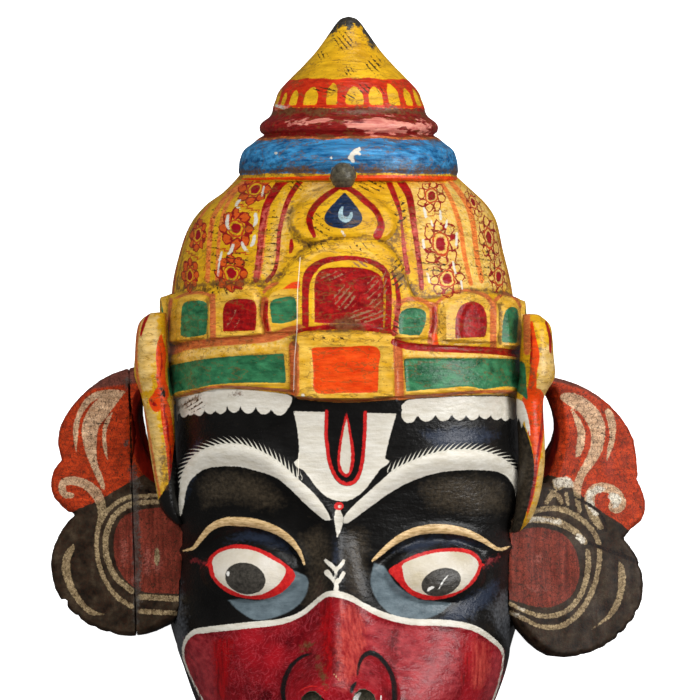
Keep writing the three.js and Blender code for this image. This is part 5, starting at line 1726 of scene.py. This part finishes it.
def board_material(paint):
    """Thin old paint on weathered boards, crackled and worn along the grain."""
    material, tree, shader = new_material("crackled_paint_on_weathered_board")
    place = add(tree, "TexCoord", {}, "Object")
    wide = uneven(tree, place, 22, detail=4, seed=1.3)
    fine = uneven(tree, place, 1.8, seed=2.9)
    grain = uneven(tree, place, 4, (1.6, 0.16, 1), 5, 4.4)
    level = uneven(tree, place, 4, (0.16, 1.6, 1), 5, 6.4)
    chunky = uneven(tree, place, 9, detail=5, seed=19.1)
    edge, broken, chunks = (add(tree, "Math", {0: drift, 1: much}, operation="MULTIPLY")
                            for drift, much in ((fine, 2.6), (fine, 14), (chunky, 16)))
    colour = shades(tree, chunky, "#0A0806", "#483C2E", 0.2)
    colour = coats(
        tree, colour,
        ("red", level, deeper(paint.board_red, 0.5, 0.35, 0.4), paint.board_red, edge),
        # Brownish red painted shade along the top edges
        ("mauve_painted_shade", grain, "#5E3630", "#8A4E42", edge, SPREAD, 0, 1.2),
        ("centre", grain, "#5E2018", "#9A4434", edge),
        ("mottle", fine, "#94403C", "#C07A6C", broken, SPREAD, 2, 3, 0.6))
    # The pattern is cream on the red, and has darkened to khaki on the black
    khaki = shades(tree, fine, "#746242", "#C8B088")
    cream = shades(tree, level, "#BC906A", "#F4CEA8")
    on_red = add(tree, "Attribute", {}, "Fac", attribute_name="red")
    colour = coat(tree, colour, "cream", lay(tree, khaki, cream, on_red, -3, 1), edge)
    colour = coats(
        tree, colour,
        ("flake", fine, "#BCB098", "#F4ECDC", chunks, SPREAD, 0.6, 0.8),
        ("filler", fine, "#34322F", "#5E5B56", broken, SPREAD, 0.2, 1.6, 0.85),
        ("split", None, "#0C0806", None, edge))
    worn = shades(tree, chunky, "#8A8078", "#FFFFFF", 0.2)
    colour = add(tree, "Mix", {0: 0.7, UNDER: colour, OVER: worn}, MIXED, data_type="RGBA",
                 blend_type="MULTIPLY")
    # Crackle: dark wood in the breaks of every coat
    colour = crazing(tree, colour, place, 4.5, "#2A1A10", 0.8, (0.7, 1.5, 1), 3.3)
    colour = crazing(tree, colour, place, 7, "#3A2014", 0.7, (1.6, 0.7, 1), 1.2)
    cells = add(tree, "TexVoronoi", {"Vector": place, "Scale": 1 / (3.4 * MM)}, "Distance",
                feature="DISTANCE_TO_EDGE")
    colour = lay(tree, colour, linear("#2E1A10"), cells, 0.07, 0.02, 0.45)
    colour = specks(tree, colour, place, 1.7, 0.12, "#2A1C12", 0.8, (1, 0.7, 1), 8.2)
    colour = specks(tree, colour, place, 1.2, 0.26, "#9A8468", 0.5, (1, 1, 1), 5.2)
    colour = coats(
        tree, colour,
        # Near-black deep in the creases
        ("dirt", None, "#140E0A", None, broken, SPREAD, 5, 2, 0.8),
        ("behind", grain, "#33241A", "#554030", edge, SPREAD, 0, 1),
        # The slot walls' red, darkened as painted shade
        ("maroon_painted_shade", grain, "#3A0806", "#7A160A", edge))
    height = add(tree, "Math", {0: grain, 1: 0.8, 2: fine}, operation="MULTIPLY_ADD")
    finish(tree, shader, colour, 0.25, (wide, 0.5, 0.8), height, 0.5)
    return material


# ---------------------------------------------------------------------------
# Paint kept on the points of a piece

# Place kept for a point that is in no flower
NO_FLOWER = 3


def keep(piece, name, values, kind="FLOAT"):
    """Keeps one value, or one vector, for each point of the piece."""
    layer = piece.data.attributes.new(name, kind, "POINT")
    values = np.ravel(values).astype(np.float32)
    layer.data.foreach_set("value" if kind == "FLOAT" else "vector", values)


def creases(piece, spread):
    """How deep each point lies in a crease, in millimetres, and below zero on a ridge."""
    points = spots(piece)
    size = len(points)
    a, b = read(piece.data.edges, "vertices", 2, int).T
    count = np.maximum(np.bincount(a, minlength=size) + np.bincount(b, minlength=size), 1)
    around = points
    for _ in range(spread):
        sums = [np.bincount(a, around[b, k], size) + np.bincount(b, around[a, k], size)
                for k in range(3)]
        around = np.column_stack(sums) / count[:, None]
    return ((around - points) * read(piece.data.vertices, "normal", 3)).sum(1)


def along_line(path, u, v):
    """Distance along a line and to its upper side, for the spots near it."""
    along, side = np.zeros(u.shape), np.full(u.shape, -float(REACH))
    best = np.full(u.shape, float(REACH))
    start = 0
    for a, b in zip(path, path[1:]):
        step = b - a
        length = np.hypot(*step)
        t = np.clip(((u - a[0]) * step[0] + (v - a[1]) * step[1]) / length**2, 0, 1)
        away = np.hypot(u - a[0] - t * step[0], v - a[1] - t * step[1])
        nearer = away < best
        lies = step[0] * (v - a[1]) - step[1] * (u - a[0])
        along[nearer] = start + t[nearer] * length
        side[nearer] = np.where(lies < 0, away, -away)[nearer]
        best[nearer] = away[nearer]
        start += length
    return along, side


def scratch_marks(groups, u, v):
    """Distance across the scratches of each group, and their half width, for every spot."""
    across, width = np.zeros(u.shape), np.full(u.shape, -float(REACH))
    for mid_u, mid_v, wide, high, turn, spacing, half in groups:
        inside = np.minimum(cover(oval(mid_u, mid_v, wide, high), u, v) * 0.35, half)
        near = inside > width
        c, s = np.cos(np.radians(turn)), np.sin(np.radians(turn))
        across[near] = ((c * v - s * u) * SCRATCH_STEP / spacing)[near]
        width[near] = (inside * SCRATCH_STEP / spacing)[near]
    return across, width


def brow_hairs(u, v, on_head):
    """Hairs along the lower edges of the brows: distance along the row, and half width."""
    hair_along, hair_width = np.zeros(u.shape), np.full(u.shape, -float(REACH))
    for edge, slant in ((smooth(LEFT_BROW[0])[9:56], 1.2), (smooth(RIGHT_BROW[0])[24:72], -1.2)):
        along, side = along_line(edge, u, v)
        near = (side > -2.5) & on_head
        hair_along[near] = (along + slant * side)[near]
        hair_width[near] = (1.5 * (1 - side / 7))[near]
    return hair_along, hair_width


def hairlines(u, v, on_head):
    """Fine cracks down the head: distance from the nearest one, and half width."""
    across, width = np.full(u.shape, float(REACH)), np.full(u.shape, -float(REACH))
    for line in HAIRLINES:
        line_u, line_v = np.array(line).T
        near = (np.abs(v - line_v.mean()) < np.ptp(line_v) / 2 + 12) & on_head
        across[near] = np.clip(u - np.interp(v, line_v, line_u), -REACH, REACH)[near]
        width[(v > line_v[0]) & (v < line_v[-1]) & on_head] = 0.35
    return across, width


def nearest_flower(u, v):
    """Place within the nearest flower, its edge being at 1, and whether its petals are filled."""
    place = np.full(u.shape + (3,), (NO_FLOWER, NO_FLOWER, 0), float)
    best = np.full(u.shape, 1.6)
    for mid_u, mid_v, wide, high, turn, filled in FLOWERS:
        c, s = np.cos(np.radians(turn)), np.sin(np.radians(turn))
        du, dv = u - mid_u, v - mid_v
        a, b = (du * c + dv * s) / wide / 1.1, (dv * c - du * s) / high / 1.1
        away = np.hypot(a, b)
        nearer = away < best
        place[nearer] = np.column_stack([a, b, np.full(u.shape, float(filled))])[nearer]
        best[nearer] = away[nearer]
    return place


# ---------------------------------------------------------------------------
# Settings


def colour_choice(name, code, text):
    """A colour that a user can change."""
    return bpy.props.FloatVectorProperty(name=name, description=text, subtype="COLOR", size=4,
                                         min=0, max=1, default=linear(code))


def length_choice(name, default, low, high, text):
    """A length that a user can change, in metres."""
    return bpy.props.FloatProperty(name=name, description=text, default=default, min=low,
                                   max=high, unit="LENGTH", subtype="DISTANCE")


class MaskSettings(bpy.types.PropertyGroup):
    """Sizes of the carved mask."""

    side_wall: length_choice("Side Wall", 0.015, 0.005, 0.03,
                             "Thickness of the wood at the sides of the hollow")
    front_wall: length_choice("Front Wall", 0.024, 0.008, 0.04,
                              "Thickness of the wood behind the face")
    columns: bpy.props.IntProperty(name="Columns", description="Points across the head",
                                   default=200, min=60, max=240)
    rows: bpy.props.IntProperty(name="Rows", default=330, min=100, max=400,
                                description="Points from the top of the head to the chin")
    board_grain: length_choice("Board Grain", 0.0013, 0.0009, 0.004,
                               "Size of the faces of the ear ornaments")


class PaintSettings(bpy.types.PropertyGroup):
    """Main colours of the paint, each where it is brightest."""

    yellow: colour_choice("Yellow", "#F2BE24", "Ground of the crown and the ears")
    crimson: colour_choice("Crimson", "#B41412", "Panels and stripes of the crown")
    green: colour_choice("Green", "#3E8A5C", "Panels of the crown")
    blue: colour_choice("Blue", "#48A0DA", "Roll of the finial")
    black: colour_choice("Black", "#131211", "Ground of the face")
    white: colour_choice("White", "#DCD8CE", "Brows, fringe, and mark on the forehead")
    board_red: colour_choice("Board Red", "#D84A1E", "Swirls of the ear ornaments")


class StageSettings(bpy.types.PropertyGroup):
    """Floor, light, and camera."""

    floor_colour: colour_choice("Floor", "#F4F4F4", "Colour of the studio floor")
    light_power: bpy.props.FloatProperty(name="Light", description="Power of a softbox",
                                         default=36, min=1, max=200, unit="POWER")
    lens: bpy.props.FloatProperty(name="Lens", description="Focal length of the camera",
                                  default=458.5, min=50, max=800)


# ---------------------------------------------------------------------------
# Operators

# Parts that the head is joined from, each with a material of its own until the paint is kept
ZONES = ("head", "finial", "ear", "putty", "hollow", "nostril")
HEAD, FINIAL, EAR, PUTTY, HOLLOW, NOSTRIL = range(len(ZONES))
# The grey bead on the crown and the nostrils: place, height, and half sizes
BEAD = (343, 176, 86, 8.5, 9, 9.5)
NOSTRILS = ((315, 699.2, 164, 11, 8.6, 8.6), (363.8, 695.6, 165, 8.6, 7.4, 9))


class MASK_OT_carve_head(bpy.types.Operator):
    """Carve the head with its crown, finial, ears, and hollow, and paint it"""

    bl_idname = "mask.carve_head"
    bl_label = "Carve Head"

    def execute(self, context):
        settings = context.scene.mask_settings
        zones = [bpy.data.materials.new("zone_" + name) for name in ZONES]
        head = head_sheet(settings.columns, settings.rows)
        close_back(head)
        head.data.materials.append(zones[HEAD])
        hollow = (settings.side_wall / MM, settings.front_wall / MM)
        parts = [(turn_finial(), FINIAL, "UNION")]
        parts += [(loft_ear(rows), EAR, "UNION") for rows in (LEFT_EAR, RIGHT_EAR)]
        parts += [(egg(*BEAD), PUTTY, "UNION"), (carve_hollow(*hollow), HOLLOW, "DIFFERENCE")]
        parts += [(egg(*nostril), NOSTRIL, "DIFFERENCE") for nostril in NOSTRILS]
        for tool, zone, operation in parts:
            tool.data.materials.append(zones[zone])
            join_solid(head, tool, operation)
        low, high = (np.array(corner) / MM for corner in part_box("mask"))
        put(head, np.clip(spots(head), low, high))
        name_piece(head, "mask_carving")
        paint_head(head, zones)
        choose(head)
        bpy.ops.object.shade_smooth_by_angle(angle=np.radians(35))
        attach(head, "root")
        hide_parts("mask")
        return {"FINISHED"}


def paint_head(head, zones):
    """Keeps the paint on the head's points and gives it its two materials."""
    mesh = head.data
    order = np.array([zones.index(slot.material) for slot in head.material_slots])
    face_zone = order[read(mesh.polygons, "material_index", kind=int)]
    corners = read(mesh.loops, "vertex_index", kind=int)
    zone = np.zeros(len(mesh.vertices), int)
    zone[corners] = np.repeat(face_zone, read(mesh.polygons, "loop_total", kind=int))
    points = spots(head)
    u, v = thrown(*points.T)
    depth, square = section_at(points[:, 1])[2:]
    rim = depth * (1 - GRAZED_FROM**square) ** (1 / square)
    over = np.where(zone == HEAD, np.maximum(rim - points[:, 2], 0) / UNIT, 0)
    u = u + np.sign(points[:, 0] - HEAD_X) * over
    on_head, on_finial, on_ear = zone == HEAD, zone == FINIAL, zone == EAR
    finial = finial_paint(points[on_finial])
    for name in sorted(set(HEAD_PAINT) | set(HEAD_WEAR_AND_PAINTED_LIGHT) | set(EAR_PAINT) | set(finial)):
        values = cover_all(HEAD_PAINT.get(name, []) + HEAD_WEAR_AND_PAINTED_LIGHT.get(name, []), u, v)
        values[on_ear] = cover_all(EAR_PAINT.get(name, []), u[on_ear], v[on_ear])
        values[on_finial] = finial.get(name, -REACH)
        if name == "crimson":
            ring = ring_of(*CREST_RING, u, v)
            values = np.maximum(values, np.where(on_head, ring, -REACH))
        keep(head, name, values)
    keep(head, "putty", np.where((zone == PUTTY) | (zone == NOSTRIL), REACH, -REACH))
    flower = nearest_flower(u, v)
    flower[~on_head] = (NO_FLOWER, NO_FLOWER, 0)
    keep(head, "flower", flower, "FLOAT_VECTOR")
    keep(head, "dirt", np.clip(14 * creases(head, 6), -REACH, REACH))
    marks = {name: scratch_marks(groups, u, v)
             for name, groups in (("scratch", SCRATCHES), ("scuff", SCUFFS))}
    for along, width in marks.values():
        width[zone > EAR] = -REACH
    marks["hair"] = brow_hairs(u, v, on_head)
    marks["hairline"] = hairlines(u, v, on_head)
    for name, (along, width) in marks.items():
        keep(head, name + "_along", along)
        keep(head, name + "_width", width)

    behind = read(mesh.polygons, "center", 3)[:, 2] < 0.01 * MM
    mesh.materials.clear()
    mesh.materials.append(enamel_material(bpy.context.scene.paint_settings))
    mesh.materials.append(bare_material())
    mesh.polygons.foreach_set("material_index", ((face_zone == HOLLOW) | behind).astype(int))
    for material in zones:
        bpy.data.materials.remove(material)


def weathered(points, low, high):
    """Leans the slot walls of a board, chips its edges, and roughens it. Points in millimetres."""
    u, v = thrown(*points.T)
    x, y, z = points.T.copy()
    for wall, levels, leans in SLOT_WALLS:
        near = np.exp(-((np.minimum(cover(wall, u, v), 0) / 6) ** 2))
        inner, outer = np.maximum(BOARD_BEND - np.abs(x), 0), np.maximum(np.abs(x) - BOARD_BEND, 0)
        top = BOARD_FRONT + 0.28 * inner - 0.31 * outer
        x += np.interp(v, levels, leans) * near * np.clip((top - z) / BOARD_THICK, 0, 1)
    middle_u, middle_v = u.mean(), v.mean()
    for at_u, at_v, deep, half in CHIPS:
        near = deep * np.exp(-(((u - at_u) / half) ** 2) - ((v - at_v) / half) ** 2)
        away = np.hypot(middle_u - at_u, middle_v - at_v)
        x += near * (middle_u - at_u) / away
        y -= near * (middle_v - at_v) / away
    rough = 0.35 * tool_marks(x, y * 0.35, 9, 1.9)
    edge = 0.3 * tool_marks(x + 3 * z, y, 5, 0.8)
    x = x + edge * np.sign(middle_u - u) * 0.5
    return np.clip(np.column_stack([x, y, z + rough]), low, high)


class MASK_OT_saw_boards(bpy.types.Operator):
    """Saw the three boards of the ear ornaments and paint them"""

    bl_idname = "mask.saw_boards"
    bl_label = "Saw Ear Ornaments"

    def execute(self, context):
        grain = context.scene.mask_settings.board_grain
        paint = board_material(context.scene.paint_settings)
        for node in ("left_ear_ornament_outer", "left_ear_ornament_inner", "right_ear_ornament"):
            deselect()
            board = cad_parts[node].copy()
            board.data = board.data.copy()
            context.scene.collection.objects.link(board)
            choose(board)
            bpy.ops.object.transform_apply(location=True, rotation=True, scale=True)
            clean_up(board)
            use(board, "REMESH", mode="VOXEL", voxel_size=grain)
            use(board, "SMOOTH", factor=0.5, iterations=1)
            use(board, "SHRINKWRAP", target=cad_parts[node],
                wrap_method="NEAREST_SURFACEPOINT")
            low, high = (np.array(corner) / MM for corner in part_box(node))
            points = weathered(spots(board), low, high)
            put(board, points)
            name_piece(board, node + "_board")
            u, v = thrown(*points.T)
            for name, shapes in BOARD_PAINT.items():
                keep(board, name, cover_all(shapes, u, v))
            keep(board, "dirt", np.clip(14 * creases(board, 4), -REACH, REACH))
            facing = read(board.data.vertices, "normal", 3)[:, 2]
            keep(board, "behind", np.clip(-10 * (facing + 0.3), -REACH, REACH))
            board.data.materials.clear()
            board.data.materials.append(paint)
            choose(board)
            bpy.ops.object.shade_smooth_by_angle(angle=np.radians(50))
            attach(board, "root")
            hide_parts(node)
        return {"FINISHED"}


FLOOR_SIZE = 30
WHITE = (1, 1, 1, 1)
# The gloss of the paint shows the softboxes on the right and above, and not the fill lights.
# Place and size in metres, share of the power, and whether the gloss shows it
LIGHTS = (
    ("softbox_right", (2.3, 0.5, 1.6), 1.6, 2.1, True),
    ("softbox_above", (0.6, 2.6, 1.4), 1.4, 1, True),
    ("fill_front", (-0.9, 0.8, 2.7), 1.6, 1.65, False),
    ("fill_left", (-2.6, -0.3, 0.9), 1.2, 0.5, False),
)


class MASK_OT_set_stage(bpy.types.Operator):
    """Set the floor, the softboxes, and the camera"""

    bl_idname = "mask.set_stage"
    bl_label = "Set Stage"

    def execute(self, context):
        settings = context.scene.stage_settings
        scene = context.scene
        deselect()
        bpy.ops.mesh.primitive_plane_add(size=FLOOR_SIZE, location=(0, 0, -0.5 * MM))
        floor = context.object
        name_piece(floor, "studio_floor")
        material, _, shader = new_material("white_studio_floor")
        for name, value in (("Base Color", settings.floor_colour), ("Roughness", 0.9),
                            ("Emission Color", WHITE), ("Emission Strength", 1)):
            shader.inputs[name].default_value = value
        floor.data.materials.append(material)
        floor.visible_glossy = False
        floor.visible_diffuse = False
        for name, place, size, share, shines in LIGHTS:
            light = bpy.data.lights.new(name, "AREA")
            light.size = size
            light.energy = settings.light_power * share
            lamp = bpy.data.objects.new(name, light)
            lamp.location = place
            lamp.visible_glossy = shines
            lamp.rotation_euler = Vector(place).to_track_quat("Z", "Y").to_euler()
            scene.collection.objects.link(lamp)
        world = bpy.data.worlds.new("white_studio")
        world.use_nodes = True
        background = world.node_tree.nodes["Background"]
        background.inputs["Color"].default_value = WHITE
        background.inputs["Strength"].default_value = 0.07
        scene.world = world
        camera = bpy.data.objects.new("camera", bpy.data.cameras.new("camera"))
        camera.data.lens = settings.lens
        camera.data.sensor_width = 36
        camera.data.clip_end = 50
        camera.location = Vector(THROWN_FROM) * MM
        scene.collection.objects.link(camera)
        scene.camera = camera
        scene.view_settings.view_transform = "Standard"
        return {"FINISHED"}


class MASK_PT_panel(bpy.types.Panel):
    """Lists the steps that make the mask"""

    bl_label = "Monkey-God Mask"
    bl_idname = "MASK_PT_panel"
    bl_space_type = "VIEW_3D"
    bl_region_type = "UI"
    bl_category = "Mask"

    def draw(self, context):
        layout = self.layout
        for name in ("side_wall", "front_wall", "columns", "rows", "board_grain"):
            layout.prop(context.scene.mask_settings, name)
        for name in ("yellow", "crimson", "green", "blue", "black", "white", "board_red"):
            layout.prop(context.scene.paint_settings, name)
        for name in ("floor_colour", "light_power", "lens"):
            layout.prop(context.scene.stage_settings, name)
        for operator in OPERATORS:
            layout.operator(operator.bl_idname)


OPERATORS = (MASK_OT_carve_head, MASK_OT_saw_boards, MASK_OT_set_stage)
CLASSES = (MaskSettings, PaintSettings, StageSettings) + OPERATORS + (MASK_PT_panel,)


def register():
    """Registers the add-on."""
    for kind in CLASSES:
        bpy.utils.register_class(kind)
    bpy.types.Scene.mask_settings = bpy.props.PointerProperty(type=MaskSettings)
    bpy.types.Scene.paint_settings = bpy.props.PointerProperty(type=PaintSettings)
    bpy.types.Scene.stage_settings = bpy.props.PointerProperty(type=StageSettings)


def unregister():
    """Removes the add-on."""
    del bpy.types.Scene.stage_settings
    del bpy.types.Scene.paint_settings
    del bpy.types.Scene.mask_settings
    for kind in reversed(CLASSES):
        bpy.utils.unregister_class(kind)


def main():
    """Makes every piece and the stage."""
    register()
    for operator in OPERATORS:
        group, name = operator.bl_idname.split(".")
        if getattr(getattr(bpy.ops, group), name)() != {"FINISHED"}:
            raise RuntimeError(operator.bl_label + " didn't finish")


if __name__ == "__main__":
    main()
